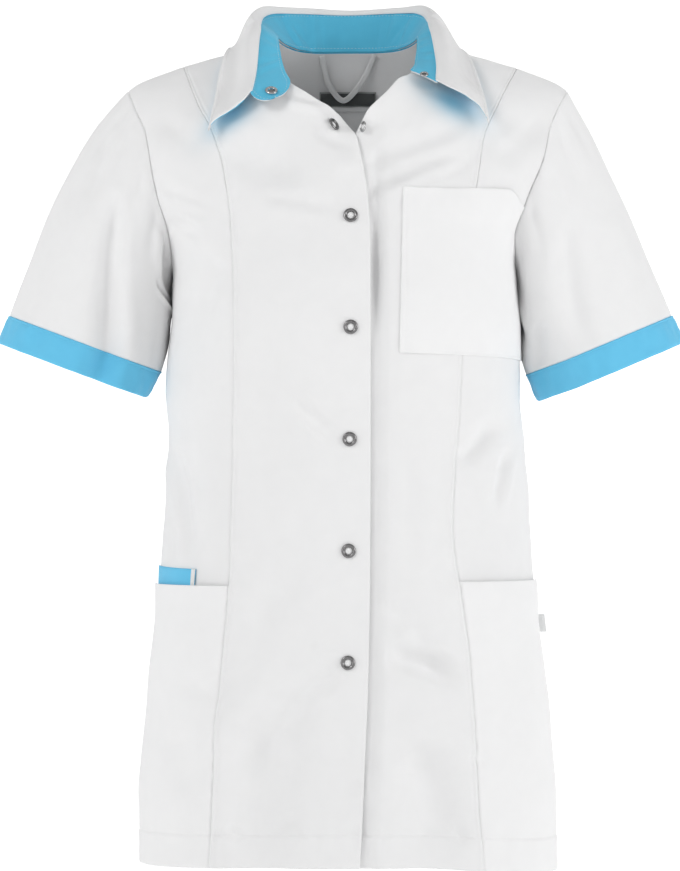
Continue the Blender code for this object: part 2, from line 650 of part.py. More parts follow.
def armhole_lean(side, sheet):
    """The leaning normals of one sheet's armhole rows, from the armpit up."""
    z, _, _, panel_lean, _ = armhole_ring(side)
    count = len(z)
    if sheet == "front":
        return panel_lean[:count][::-1]
    return np.vstack([panel_lean[count - 1], panel_lean[count:], panel_lean[0]])


def settle_seams(side, sheet, points, x):
    """Draws a panel back from the side, shoulder and armhole seams by half the seam gap."""
    back_off = -SEAM_GAP / 2 if sheet == "front" else SEAM_GAP / 2
    levels = np.array(LEVELS)
    side_rows = np.where(levels <= ARMPIT_Z + 1e-9)[0]
    points[side_rows, -1, 1] += back_off
    points[len(levels) - 1:, -1, 0] -= SIGN[side] * SEAM_GAP / 2
    points[side_rows[-1] + 1:len(levels) - 1, -1, 0] -= SIGN[side] * SEAM_GAP / 2
    on_shoulder = x[-1] >= NECK_HALF_WIDTH - 1e-6
    points[-1, on_shoulder, 1] += back_off
    return points


# Fronts and back

def under_front_drop(side, x, z):
    """The left front lies deeper where the right one laps it, and gapes below the chest."""
    if side == "right":
        return np.zeros(np.shape(x))
    lap = (1 - smoothstep(0.026, 0.044, x)) * (1 - smoothstep(-0.080, -0.062, z))
    gape = bell((z - GAPE_Z) / GAPE_HEIGHT) * bell((x - 0.022) / 0.012)
    return -OVERLAP_DROP * lap - GAPE_DEPTH * gape


def lapel_turn(side, x, z):
    """The open left lapel rolls out along its free edge."""
    if side == "right":
        return np.zeros(np.shape(x))
    edge = smooth([p.z for p in LEFT_NECK], [p.x for p in LEFT_NECK])(z)
    return LAPEL_ROLL * bell((x - edge) / 0.022) * smoothstep(-0.086, -0.060, z) \
        * (1 - smoothstep(-0.034, -0.018, z))


def front_centre(side):
    x, z = centre_grid(side)
    points, normals = body_face(side, "front", x, z)
    lift = under_front_drop(side, x, z) + lapel_turn(side, x, z)
    points[-1, :, 1] -= SEAM_GAP / 2
    points = points + normals * lift[..., None]
    return wall(f"front_{side}_centre", points, points - normals * CLOTH, cloth_white()), points, normals


def front_side(side):
    x, z = side_grid(side)
    points, normals = body_face(side, "front", x, z)
    points = settle_seams(side, "front", points, x)
    armhole_row = LEVELS.index(ARMPIT_Z)
    lean = armhole_lean(side, "front")
    normals[armhole_row + 1:, -1] = lean[1:]
    return wall(f"front_{side}_side", points, points - normals * CLOTH, cloth_white()), points, normals


def back_half(side):
    """The back from the centre line to one side seam."""
    end_x, end_z = outer_rows(side)
    shares = np.linspace(0, 1, BACK_COLUMNS + 1)
    tip = ARMHOLE_X[side](SHOULDER_TIP_Z)
    beyond = BACK_COLUMNS - NECK_COLUMNS
    top_x = np.concatenate([np.linspace(0, NECK_HALF_WIDTH, NECK_COLUMNS + 1),
                            np.linspace(NECK_HALF_WIDTH, tip, beyond + 1)[1:]])
    top_z = np.where(top_x < NECK_HALF_WIDTH, back_neck_height(top_x), shoulder_height(side, top_x))
    levels = len(LEVELS)
    x = np.empty((len(end_z), BACK_COLUMNS + 1))
    z = np.empty_like(x)
    for i in range(len(end_z)):
        angles = shares * angle_of(side, end_x[i], end_z[i])
        level_x = half_width(side, end_z[i]) * np.sin(angles) ** (2 / ROUNDNESS)
        if i < levels:
            x[i], z[i] = level_x, end_z[i]
            foot_ratio = level_x / end_x[i]
            continue
        t = top_shares()[i - levels]
        ratio = foot_ratio * (1 - t) + top_x / tip * t
        x[i] = end_x[i] * ratio
        z[i] = CHEST_POCKET_TOP_Z + (top_z - CHEST_POCKET_TOP_Z) * t
    x[:, -1] = end_x
    x, z = hung(side, x, z)
    points, normals = body_face(side, "back", x, z)
    points = settle_seams(side, "back", points, x)
    armhole_row = LEVELS.index(ARMPIT_Z)
    normals[armhole_row + 1:, -1] = armhole_lean(side, "back")[1:]
    return points, normals


def back():
    right, right_normals = back_half("right")
    left, left_normals = back_half("left")
    points = np.concatenate([right[:, ::-1], left[:, 1:]], axis=1)
    normals = np.concatenate([right_normals[:, ::-1], left_normals[:, 1:]], axis=1)
    wall("back", points, points - normals * CLOTH, cloth_white())
    return points, normals


# Sleeves

def sleeve_grid(name):
    """The sleeve's outer face from the armhole to its end, and the directions out of it."""
    sleeve = SLEEVES[name]
    _, start, ways, _, lean = armhole_ring(name)
    count = len(start)
    tilt = math.radians(sleeve.tilt)
    across = np.array([sleeve.side * math.cos(tilt), 0.0, math.sin(tilt)])
    axis = np.array([sleeve.side * math.sin(tilt), 0.0, -math.cos(tilt)])
    middle = np.array([sleeve.side * sleeve.end_x, 0.0, sleeve.end_z])
    turn = sleeve_turns(count)
    outward = np.cos(turn)[:, None] * across * sleeve.half_width
    outward[:, 1] -= np.sin(turn) * sleeve.half_depth
    behind = np.clip(-np.sin(turn), 0, 1) * smoothstep(0.1, 0.9, -np.cos(turn) + 0.3)
    outward[:, 0] -= sleeve.side * sleeve.tuck * behind
    rise = sleeve.inner_rise * smoothstep(0.2, 1.0, -np.cos(turn))
    end = middle + outward - axis * rise[:, None]
    reach = np.linalg.norm(end - start, axis=1, keepdims=True)
    grid = []
    for v in np.linspace(0, 1, SLEEVE_ROWS + 1):
        blend = v * v * (3 - 2 * v)
        row = (start * (1 - blend) + end * blend + reach * ways * v * (1 - v) ** 2
               + reach * axis * v * v * (v - 1))
        grid.append(row)
    grid = np.array(grid)
    normals = tube_normals(grid, sleeve.side)
    depth = np.zeros(grid.shape[:2])
    for fold in SLEEVE_FOLDS:
        if fold.sleeve == name:
            away = (np.degrees(turn) - fold.turn + 180) % 360 - 180
            grow = smoothstep(fold.start, 1.0, np.linspace(0, 1, SLEEVE_ROWS + 1))
            depth += fold.depth * grow[:, None] * bell(away / fold.width)[None, :]
    grid = grid + normals * depth[..., None]
    grid[0] += ways * 2 * SEAM_GAP
    normals[0] = lean
    return grid, normals, axis


def sleeve_turns(count):
    """Where each point of the ring lies round the sleeve: 0 on top, a quarter turn in front."""
    return np.arange(count) * 2 * math.pi / count


def tube_normals(grid, side):
    down = np.gradient(grid, axis=0)
    round_it = np.roll(grid, -1, axis=1) - np.roll(grid, 1, axis=1)
    normals = np.cross(round_it, down) * side
    return normals / np.linalg.norm(normals, axis=-1, keepdims=True)


def sleeve_and_cuff(name):
    grid, normals, axis = sleeve_grid(name)
    wall(f"sleeve_{name}", grid, grid - normals * CLOTH, cloth_white(), around=True)
    side = SLEEVES[name].side
    rows = []
    for step in np.linspace(0, 1, CUFF_ROWS + 1):
        shift = SEAM_GAP + CUFF_HEIGHT * step
        rows.append(grid[-1] + axis * shift + normals[-1] * CUFF_FLARE * (0.5 + step))
    cuff = np.array(rows)
    cuff_normals = tube_normals(cuff, side)
    wall(f"cuff_{name}", cuff, cuff - cuff_normals * CUFF_WALL, cloth_blue(), around=True)


# Collar

def back_neck_height(x):
    """The back neckline: lowest at the centre back, and up to the shoulder seams' neck ends."""
    lowered = (NECK_POINT_Z + BACK_NECK_DROP) * (1 - (np.abs(x) / NECK_HALF_WIDTH) ** 3)
    return NECK_POINT_Z - lowered


def neck_seam_point(walk):
    """A point of the neck seam."""
    side = "right" if walk < 0 else "left"
    ahead = abs(walk) - 1
    if ahead <= 0:
        x = abs(walk) * NECK_HALF_WIDTH
        point, normal = body_face(side, "back", x, back_neck_height(x))
        return point + np.array([0, 0, 3 * SEAM_GAP])
    neck = RIGHT_NECK if side == "right" else LEFT_NECK
    z = neck[-1].z + (STAND_END_Z[side] - neck[-1].z) * ahead
    x = SIGN[side] * float(smooth([p.z for p in neck], [p.x for p in neck])(z))
    point, normal = body_face(side, "front", x, z)
    return point + normal * lapel_turn(side, x, z) + np.array([0, 0, 3 * SEAM_GAP])


def collar_curves():
    counts = [COLLAR_COLUMNS // (len(COLLAR) - 1)] * (len(COLLAR) - 1)
    counts[0] += COLLAR_COLUMNS - sum(counts)
    walks = spline([(s.walk,) for s in COLLAR], counts)[:, 0]
    seam = np.array([neck_seam_point(w) for w in walks])
    fold, edge = spline([s.fold for s in COLLAR], counts), spline([s.edge for s in COLLAR], counts)
    inward = sheet_normals(np.array([seam, fold]))[0]
    return seam + inward * (2 * PATCH + SEAM_GAP + LAYER_GAP), fold, edge


def sheet_normals(grid):
    """Unit normals of an open grid, pointing to the wearer's neck on the collar stand."""
    normals = np.cross(np.gradient(grid, axis=1), np.gradient(grid, axis=0))
    return normals / np.linalg.norm(normals, axis=-1, keepdims=True)


def stand_grid(with_tab):
    """The stand from its seam up to its fold, with the rounded tab of its right end if asked."""
    seam, fold, _ = collar_curves()
    lift = (fold - seam) / np.linalg.norm(fold - seam, axis=1, keepdims=True)
    fold = fold - lift * SEAM_GAP
    columns = list(zip(seam, fold))
    if with_tab:
        middle, half, way = stand_end(seam, fold)
        for k in range(1, TAB_COLUMNS + 1):
            turn = math.pi / 2 * k / (TAB_COLUMNS + 0.35)
            centre = middle + way * TAB_LENGTH * math.sin(turn)
            columns.insert(0, (centre - half * math.cos(turn), centre + half * math.cos(turn)))
    shares = np.linspace(0, 1, STAND_ROWS + 1)[:, None, None]
    low, high = (np.array([c[k] for c in columns]) for k in (0, 1))
    return low + (high - low) * shares


def stand_end(seam, fold):
    """The middle of the stand's right end, half its width, and the way that its tab points."""
    way = seam[0] + fold[0] - seam[2] - fold[2]
    return (seam[0] + fold[0]) / 2, (fold[0] - seam[0]) / 2, way / np.linalg.norm(way)


def collar_stand():
    inner = stand_grid(True)
    normals = sheet_normals(inner)
    wall("stand_inner", inner, inner - normals * PATCH, cloth_blue())
    near = inner - normals * (PATCH + SEAM_GAP)
    wall("stand_outer", near, near - normals * PATCH, cloth_white())


def leaf_grid():
    """The collar's upper face, from its fold over the stand down to its outer edge."""
    seam, fold, edge = collar_curves()
    up = (fold - seam) / np.linalg.norm(fold - seam, axis=1, keepdims=True)
    stand = sheet_normals(np.array([seam, fold]))[1]
    first = fold + up * (SEAM_GAP + LAYER_GAP)
    over = first + up * ROLL_RISE
    shoulder = fold - stand * LEAF_STANDOFF + up * LEAF_START_RISE
    before = edge + (shoulder - edge) * LEAF_PULL
    grid = []
    for v in np.linspace(0, 1, LEAF_ROWS + 1):
        grid.append(first * (1 - v) ** 3 + over * 3 * v * (1 - v) ** 2
                    + before * 3 * v * v * (1 - v) + edge * v ** 3)
    return np.array(grid)


def collar_leaf():
    grid = leaf_grid()
    normals = sheet_normals(grid)
    wall("collar_leaf", grid, grid - normals * PATCH, cloth_white())
    under = grid[UNDER_COLLAR_ROW:] - normals[UNDER_COLLAR_ROW:] * (PATCH + LAYER_GAP)
    under_normals = normals[UNDER_COLLAR_ROW:]
    under[-1] += (under[-2] - under[-1]) * EDGE_INSET
    under[:, 0] += (under[:, 1] - under[:, 0]) * EDGE_INSET
    under[:, -1] += (under[:, -2] - under[:, -1]) * EDGE_INSET
    wall("under_collar", under, under - under_normals * PATCH, cloth_blue())


# Pockets

def lower_pocket(side, points, normals):
    """A pocket over the lower side panel, from its mouth to the hem, made from the panel's points."""
    mouth = LEVELS.index(POCKET_MOUTH_Z)
    base, out = points[:mouth + 1], normals[:mouth + 1]
    height = np.linspace(0, 1, mouth + 1)[:, None]
    across = np.linspace(0, 1, SIDE_COLUMNS + 1)[None, :]
    lift = LAYER_GAP + POCKET_FULLNESS * np.sin(height * math.pi * 0.6) * np.sin(across * math.pi)
    if side == "right":
        over_phone = smoothstep(0.0, PHONE_POCKET_COLUMN / SIDE_COLUMNS, across)
        lift = lift + (LAYER_GAP + PATCH) * over_phone * smoothstep(0.0, 0.3, height)
    near = base + out * lift[..., None]
    wall(f"pocket_{side}", near + out * PATCH, near, cloth_white())


def phone_pocket(points, normals):
    """The blue inner pocket, whose top shows above the right pocket's mouth."""
    foot, top = LEVELS.index(PHONE_POCKET_FOOT_Z), LEVELS.index(PHONE_POCKET_TOP_Z)
    base = points[foot:top + 1, PHONE_POCKET_COLUMN:]
    out = normals[foot:top + 1, PHONE_POCKET_COLUMN:]
    near = base + out * LAYER_GAP
    wall("phone_pocket", near + out * PATCH, near, cloth_blue())


def chest_pocket(centre, centre_normals, side, side_normals):
    """The pocket on the wearer's left chest, across the princess seam to the armhole."""
    foot, top = LEVELS.index(CHEST_POCKET_FOOT_Z), LEVELS.index(CHEST_POCKET_TOP_Z)
    rows = slice(foot, top + 1)
    base = np.concatenate([centre[rows, CENTRE_COLUMNS_IN:-1], side[rows]], axis=1)
    out = np.concatenate([centre_normals[rows, CENTRE_COLUMNS_IN:-1], side_normals[rows]], axis=1)
    near = base + out * LAYER_GAP
    near, out = near[:, :-1], out[:, :-1]
    wall("chest_pocket", near + out * PATCH, near, cloth_white())


# Snaps

def ring(name, centre, normal, outer_radius, hole_radius, height, look):
    """A low metal ring with a rounded top, lying on the cloth."""
    profile = ((hole_radius, 0.0), (hole_radius, 0.7 * height), (hole_radius * 1.3, height),
               (outer_radius * 0.82, height), (outer_radius, 0.45 * height), (outer_radius, 0.0))
    normal = np.asarray(normal) / np.linalg.norm(normal)
    across = np.cross(normal, (0.0, 0.0, 1.0))
    across = across / np.linalg.norm(across)
    up = np.cross(across, normal)
    points, count = [], len(profile)
    for k in range(SNAP_SIDES):
        turn = 2 * math.pi * k / SNAP_SIDES
        way = across * math.cos(turn) + up * math.sin(turn)
        points += [centre + way * r + normal * h for r, h in profile]
    faces = []
    for k in range(SNAP_SIDES):
        a, b = k * count, (k + 1) % SNAP_SIDES * count
        faces += [(a + i, a + (i + 1) % count, b + (i + 1) % count, b + i) for i in range(count)]
    obj = add_object(name, points, faces, look)
    if signed_volume(points, faces) < 0:
        obj.data.flip_normals()


def snap_on_body(name, side, x, z):
    """A snap ring that lies on the outer face of a front, at x and z."""
    out_x = SIGN[side] * x
    point, normal = body_face(side, "front", out_x, z)
    lift = SNAP_SEAT + lapel_turn(side, out_x, z)
    ring(name, point + normal * lift, normal, SNAP_RADIUS, SNAP_HOLE, SNAP_HEIGHT, steel())


def snaps():
    for k in range(CLOSED_SNAPS):
        snap_on_body(f"snap_{k + 1}", "right", SNAP_X, TOP_SNAP_Z - k * SNAP_SPACING)
    snap_on_body("snap_open_ring", "right", OPEN_RING.x, OPEN_RING.z)
    snap_on_body("snap_open_stud", "left", OPEN_STUD.x, OPEN_STUD.z)
    stand = stand_grid(False)
    normals = sheet_normals(stand)
    tab_way = stand_end(stand[0], stand[-1])[2]
    for name, k, shift, size in (("collar_socket", 0, TAB_LENGTH * 0.5, 0.85),
                                 ("collar_stud", -1, 0.0, 0.65)):
        centre = (stand[1, k] + stand[2, k]) / 2 + tab_way * shift
        ring(name, centre + normals[1, k] * SNAP_SEAT, normals[1, k],
             SNAP_RADIUS * size, SNAP_HOLE * size, SNAP_HEIGHT * size, steel())


# Labels and loop

def neck_label():
    x = np.linspace(-LABEL_WIDTH / 2, LABEL_WIDTH / 2, 9)
    z = np.linspace(LABEL_TOP_Z - LABEL_HEIGHT, LABEL_TOP_Z, 3)
    outer = []
    for height in z:
        row = []
        for across in x:
            side = "left" if across >= 0 else "right"
            point, normal = body_face(side, "back", abs(across), height)
            row.append(point - normal * (CLOTH + LABEL_STANDOFF))
        outer.append(row)
    outer = np.array(outer)
    inner = outer.copy()
    inner[..., 1] -= LABEL_THICKNESS
    wall("neck_label", outer, inner, label_cloth())


def side_label():
    """A small folded label that stands out of the left side seam."""
    rows = []
    for height in np.linspace(SIDE_LABEL_TOP_Z - SIDE_LABEL_HEIGHT, SIDE_LABEL_TOP_Z, 3):
        start = float(SIDE_WIDTH["left"](height)) + 2 * LAYER_GAP + PATCH
        rows.append([(start + SIDE_LABEL_REACH * k, 0.0, height) for k in (0.0, 0.5, 1.0)])
    grid = np.array(rows)
    shift = np.array([0.0, SIDE_LABEL_THICKNESS / 2, 0.0])
    wall("side_label", grid - shift, grid + shift, cloth_white())


def hanging_loop():
    """A narrow tape loop that hangs inside the back neck."""
    path = spline([(p.x, p.z) for p in LOOP_PATH], [3] * (len(LOOP_PATH) - 1))
    run = np.gradient(path, axis=0)
    run = run / np.linalg.norm(run, axis=1, keepdims=True)
    aside = np.stack([-run[:, 1], run[:, 0]], axis=1)
    grid = []
    for shift in (-0.5, 0.0, 0.5):
        row = []
        for (x, z), (dx, dz) in zip(path, aside):
            px, pz = x + dx * shift * LOOP_WIDTH, z + dz * shift * LOOP_WIDTH
            side = "left" if px >= 0 else "right"
            point, normal = body_face(side, "back", abs(px), pz)
            free = smoothstep(LOOP_PATH[0].z, LOOP_PATH[2].z, pz) if pz < LOOP_PATH[0].z else 0.0
            standoff = LOOP_SEAM_STANDOFF + (LOOP_STANDOFF - LOOP_SEAM_STANDOFF) * free
            row.append(point - normal * (CLOTH + standoff))
        grid.append(row)
    outer = np.array(grid)
    inner = outer.copy()
    inner[..., 1] -= LOOP_THICKNESS
    wall("hanging_loop", outer, inner, cloth_white())


def main():
    clear_scene()
    grids = {}
    for side in ("right", "left"):
        grids[side, "centre"] = front_centre(side)[1:]
        grids[side, "side"] = front_side(side)[1:]
        sleeve_and_cuff(side)
        lower_pocket(side, *grids[side, "side"])
    back()
    collar_stand()
    collar_leaf()
    phone_pocket(*grids["right", "side"])
    chest_pocket(*grids["left", "centre"], *grids["left", "side"])
    snaps()
    neck_label()
    side_label()
    hanging_loop()


main()
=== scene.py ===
import math

import bmesh
import bpy
import numpy as np
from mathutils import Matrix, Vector


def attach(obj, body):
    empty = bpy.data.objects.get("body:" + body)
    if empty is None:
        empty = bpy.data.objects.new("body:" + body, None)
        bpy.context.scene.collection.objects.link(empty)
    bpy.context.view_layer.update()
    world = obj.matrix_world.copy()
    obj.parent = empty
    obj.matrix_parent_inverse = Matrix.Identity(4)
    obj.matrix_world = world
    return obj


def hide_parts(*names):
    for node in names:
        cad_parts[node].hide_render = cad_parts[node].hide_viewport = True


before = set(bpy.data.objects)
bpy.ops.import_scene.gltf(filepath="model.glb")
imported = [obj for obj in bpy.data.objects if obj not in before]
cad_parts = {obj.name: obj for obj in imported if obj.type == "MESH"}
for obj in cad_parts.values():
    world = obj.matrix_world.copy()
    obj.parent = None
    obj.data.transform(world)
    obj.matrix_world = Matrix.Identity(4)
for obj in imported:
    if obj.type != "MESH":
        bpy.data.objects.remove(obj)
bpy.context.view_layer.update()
sideSign = {"right": -1, "left": 1}  # the wearer's sides


# Curves through short tables

def smooth(xs, ys):
    # runs through the points and never overshoots them
    xs, ys = np.asarray(xs, float), np.asarray(ys, float)
    slopes = np.diff(ys) / np.diff(xs)
    tangents = np.concatenate([[slopes[0]], np.zeros(len(xs) - 2), [slopes[-1]]])
    for i in range(1, len(xs) - 1):
        before, after = slopes[i - 1], slopes[i]
        if before * after > 0:
            tangents[i] = 2 * before * after / (before + after)

    def value(x):
        x = np.clip(np.asarray(x, float), xs[0], xs[-1])
        i = np.clip(np.searchsorted(xs, x, side="right") - 1, 0, len(xs) - 2)
        gap = xs[i + 1] - xs[i]
        t = (x - xs[i]) / gap
        return (ys[i] + gap * tangents[i] * t * (1 - t) ** 2
                + (ys[i + 1] - ys[i]) * t * t * (3 - 2 * t)
                + gap * tangents[i + 1] * t * t * (t - 1))

    return value


def spline(points, perSpan):
    # Catmull-Rom through the points
    points = np.asarray(points, float)
    padded = np.vstack([2 * points[0] - points[1], points, 2 * points[-1] - points[-2]])
    made = []
    for i in range(len(points) - 1):
        a, b, c, d = padded[i:i + 4]
        for t in np.arange(perSpan) / perSpan:
            made.append(0.5 * (2 * b + (c - a) * t + (2 * a - 5 * b + 4 * c - d) * t ** 2
                               + (3 * b - a - 3 * c + d) * t ** 3))
    made.append(points[-1])
    return np.array(made)


def along(points, shares):
    lengths = np.concatenate([[0], np.cumsum(np.linalg.norm(np.diff(points, axis=0), axis=1))])
    at = np.asarray(shares) * lengths[-1]
    return np.stack([np.interp(at, lengths, points[:, k]) for k in range(points.shape[1])], axis=1)


def ease(low, high, x):
    t = np.clip((np.asarray(x, float) - low) / (high - low), 0, 1)
    return t * t * (3 - 2 * t)


def fall(low, high, x):
    return 1 - ease(low, high, x)


def bell(x):
    return np.exp(-np.square(x))


def unit(vectors):
    return vectors / np.maximum(np.linalg.norm(vectors, axis=-1, keepdims=True), 1e-12)


# The body's form, the same as the solids' form

torso = {  # half widths to each side seam and depths at the centre, by height
    "z": [-.712, -.660, -.600, -.550, -.500, -.455, -.400, -.345, -.300, -.250, -.206, -.160,
          -.120, -.080, -.045, -.020, .004],
    "right": [.1812, .1800, .1755, .1710, .1655, .1630, .1605, .1566, .1592, .1555, .1530],
    "left": [.1812, .1805, .1765, .1712, .1650, .1612, .1580, .1535, .1505, .1495, .1454],
    "front": [.131, .128, .124, .121, .119, .118, .119, .122, .126, .128, .123, .112, .100,
              .085, .068, .052, .038],
    "back": [.127, .124, .119, .113, .106, .100, .096, .096, .101, .107, .110, .109, .105,
             .097, .085, .073, .062],
    "oval": 2.4,
    "bust": {"x": .083, "z": -.238, "width": .045, "height": .055, "fullness": .006},
    "hemDrop": {"right": .0020, "left": .0085},
    "hemZ": -.712,
    "hemDropTop": -.618,
}
armhole = {
    "z": [-.206, -.190, -.170, -.140, -.110, -.080, -.060, -.041],
    "right": [.1530, .1535, .1556, .1640, .1705, .1757, .1845, .1920],
    "left": [.1454, .1437, .1438, .1545, .1656, .1745, .1815, .1915],
    "depthShare": [0, .20, .36, .49, .53, .52, .50, .47],
    "pit": -.206,
    "tip": -.041,
}
shoulder = {
    "share": [-.60, -.20, 0, .28, .47, .64, .80, .93, 1],
    "z": [.090, .030, .003, -.0075, -.0140, -.0210, -.0280, -.0350, -.0410],
    "neckHalf": .062,
    "neckZ": .003,
    "rounding": .075,
    "backNeckDrop": .0045,
}
princess = {
    "z": [-.712, -.600, -.530, -.470, -.420, -.330, -.220, -.160, -.115, -.080, -.055, -.0215],
    "right": [.1182, .1130, .1068, .1020, .1003, .0986, .0977, .1005, .1067, .1172, .1300, .1430],
    "left": [.1157, .1086, .1030, .0950, .0895, .0945, .0995, .1050, .1125, .1190, .1300, .1475],
}
frontEdge = {
    "z": [-.712, -.670, -.620, -.560, -.470, -.300, -.170, -.130],
    "right": [.0098, .0120, .0142, .0168, .0186, .0192, .0188, .0164],
    "left": [-.0150, -.0150, -.0155, -.0160, -.0160, -.0160, -.0145, -.0110],
    "underDrop": .0042,  # the under front lies this much deeper
    "gape": {"z": -.200, "height": .040, "x": .0235, "width": .0058, "depth": .0080},
}
neckline = {  # from the front edge up: the fourth point is the lapel's corner
    "right": [(.0164, -.1300), (.0112, -.1020), (.0058, -.0820), (-.0061, -.0652),
              (-.0181, -.0570), (-.0353, -.0467), (-.0509, -.0365), (-.0563, -.0249),
              (-.0602, -.0080), (-.0620, .0030)],
    "left": [(-.0110, -.1300), (-.0060, -.1080), (.0060, -.0820), (.0170, -.0640),
             (.0335, -.0480), (.0430, -.0370), (.0525, -.0325), (.0590, -.0200),
             (.0612, -.0070), (.0620, .0030)],
    "corner": 3,
    "lapelRoll": .006,
}
broadFolds = {  # x0, z0, x1, z1, width, depth in mm: the folds that the solids have too
    "front": [(-20, -545, -95, -640, 22, -3.5), (50, -520, 92, -550, 16, -3.0),
              (60, -585, 70, -712, 26, -5.0), (-75, -600, -80, -712, 24, -4.5),
              (125, -330, 98, -372, 13, -2.8), (-150, -360, -128, -450, 13, -3.0),
              (-125, -215, -140, -290, 16, -3.0), (75, -150, 130, -60, 16, -3.0),
              (-70, -85, -45, -125, 24, -3.0)],
    "back": [(-70, -330, -85, -712, 30, -6.0), (60, -350, 80, -712, 28, -6.0),
             (0, -420, -5, -712, 34, 4.5), (-130, -150, -70, -230, 18, -4.0),
             (125, -150, 70, -225, 18, -3.5), (-60, -330, 60, -345, 14, -3.0)],
}
creases = {  # x0, z0, bend x, bend z, x1, z1, width, depth, lean in mm
    "front": {
        "open neck to left collar": (10, -102, 70, -92, 113, -64, 9, -2.0, .5),
        "above the chest pocket": (20, -131, 50, -110, 110, -93, 6, -2.3, .8),
        "pocket mouth": (58, -124, 84, -119, 112, -104, 4, -1.2, .5),
        "under front hollow": (18, -96, 34, -108, 40, -130, 10, -2.2, .3),
        "left shoulder pull": (122, -110, 150, -86, 184, -56, 12, -2.4, .4),
        "left shoulder second": (112, -96, 132, -78, 160, -56, 8, -1.0, -.4),
        "right chest hollow": (-106, -86, -78, -106, -38, -124, 16, -2.8, .3),
        "right shoulder pull": (-170, -60, -144, -86, -114, -102, 10, -1.3, .4),
        "right armhole upper": (-166, -124, -140, -137, -112, -146, 5, -1.1, .5),
        "right armhole middle": (-162, -142, -140, -145, -116, -157, 4, -.9, .5),
        "right armhole lower": (-157, -158, -140, -162, -124, -174, 4.5, -1.2, .5),
        "right bust side": (-108, -188, -118, -206, -128, -246, 8, -1.5, -.4),
        "open neck right": (-36, -74, -14, -88, 8, -98, 5, -1.7, -.5),
        "under the lapel corner": (-14, -108, 4, -112, 14, -106, 6, .6, 0),
        "right lapel roll": (-56, -55, -36, -60, -12, -64, 4.0, 1.6, -.8),
        "below snap one": (-80, -137, -40, -138, -1, -150, 6, -1.2, .4),
        "under front edge": (22, -112, 25, -126, 23, -142, 5, -1.4, 0),
        "snap three pull": (-48, -306, -28, -334, -2, -344, 5, -1.3, .6),
        "snap three low": (-60, -296, -50, -314, -34, -330, 9, -.7, .3),
        "snap five pull": (-2, -543, -34, -552, -62, -584, 8, -1.5, -.5),
        "snap five long": (-34, -562, -66, -592, -108, -644, 17, -3.2, .6),
        "snap five ridge": (-32, -519, -20, -526, -8, -534, 5, .8, 0),
        "right hip hollow": (-92, -505, -64, -484, -32, -462, 15, -1.5, .3),
        "right lower hollow": (-48, -598, -72, -644, -84, -708, 27, -3.4, .5),
        "left hip pull": (30, -528, 62, -536, 102, -554, 9, -4.4, -.6),
        "left hip hollow": (52, -506, 70, -522, 92, -546, 12, -1.6, .2),
        "left hip second": (34, -482, 50, -504, 72, -534, 13, -1.7, .3),
        "left skirt hollow": (54, -602, 80, -646, 86, -708, 26, -5.4, .7),
        "left skirt roll": (34, -582, 66, -592, 100, -606, 16, 1.2, 0),
        "left centre fall": (49, -338, 54, -400, 58, -484, 13, -1.2, .3),
        "right waist line": (-155, -344, -141, -392, -136, -458, 5, -2.2, .6),
        "right waist side": (-154, -414, -150, -440, -153, -458, 4, -1.0, .4),
        "right waist broad": (-144, -348, -136, -370, -126, -396, 10, -1.3, .3),
        "left waist pull": (96, -372, 112, -350, 132, -326, 7, -1.8, .5),
        "left waist line": (139, -352, 131, -374, 125, -416, 4, -1.6, -.7),
        "right pocket fall": (-140, -552, -124, -560, -112, -570, 8, -.9, .3),
        "right pocket deep": (-150, -590, -138, -620, -136, -660, 12, -1.2, .3),
        "left pocket small": (101, -616, 112, -624, 122, -620, 6, -.9, .3),
        "left pocket broad": (130, -500, 136, -560, 140, -640, 16, -1.4, .2),
        "right hem pucker": (-106, -676, -98, -682, -92, -690, 5, -1.2, .4),
        "mid hem pucker": (-54, -666, -50, -674, -54, -684, 7, -1.1, .3),
        "left hem pucker": (92, -676, 100, -684, 96, -694, 5, -1.2, -.4),
        "right centre fall": (-72, -180, -76, -300, -72, -440, 22, -1.1, .2),
    },
    "back": {
        "right blade": (-150, -120, -110, -170, -84, -236, 12, -2.2, .4),
        "left blade": (146, -128, 108, -176, 88, -230, 11, -2.0, -.4),
        "yoke pull right": (-120, -70, -70, -84, -30, -80, 10, -1.2, .4),
        "yoke pull left": (118, -74, 72, -88, 26, -86, 9, -1.1, -.4),
        "waist right": (-136, -330, -96, -352, -50, -346, 7, -2.0, .5),
        "waist left": (134, -322, 100, -346, 58, -352, 8, -1.9, -.5),
        "waist centre": (-36, -366, 0, -374, 40, -362, 9, -1.4, .3),
        "waist low right": (-120, -384, -84, -398, -40, -388, 6, -1.3, -.4),
        "waist low left": (116, -396, 76, -406, 36, -400, 6, -1.2, .4),
        "seat right": (-40, -450, -56, -560, -48, -680, 16, -1.6, .3),
        "seat left": (34, -470, 46, -570, 40, -690, 15, -1.6, -.3),
        "side right": (-136, -440, -130, -560, -134, -690, 14, -1.8, .4),
        "side left": (132, -450, 128, -560, 130, -690, 14, -1.8, -.4),
        "right arm pull": (-160, -176, -134, -206, -112, -262, 8, -1.5, .4),
        "left arm pull": (154, -182, 132, -212, 116, -258, 8, -1.5, -.4),
        "hem pucker right": (-90, -668, -84, -680, -88, -694, 6, -1.2, .3),
        "hem pucker left": (64, -664, 70, -678, 62, -692, 6, -1.2, .3),
    },
}
creaseForm = {"steps": 15, "strength": 2.3, "fadeIn": .3, "fadeOut": .62,
              "ridge": .6, "ridgeAway": 1.9, "ridgeWidth": .9, "reach": 3.6}  # the last three in widths
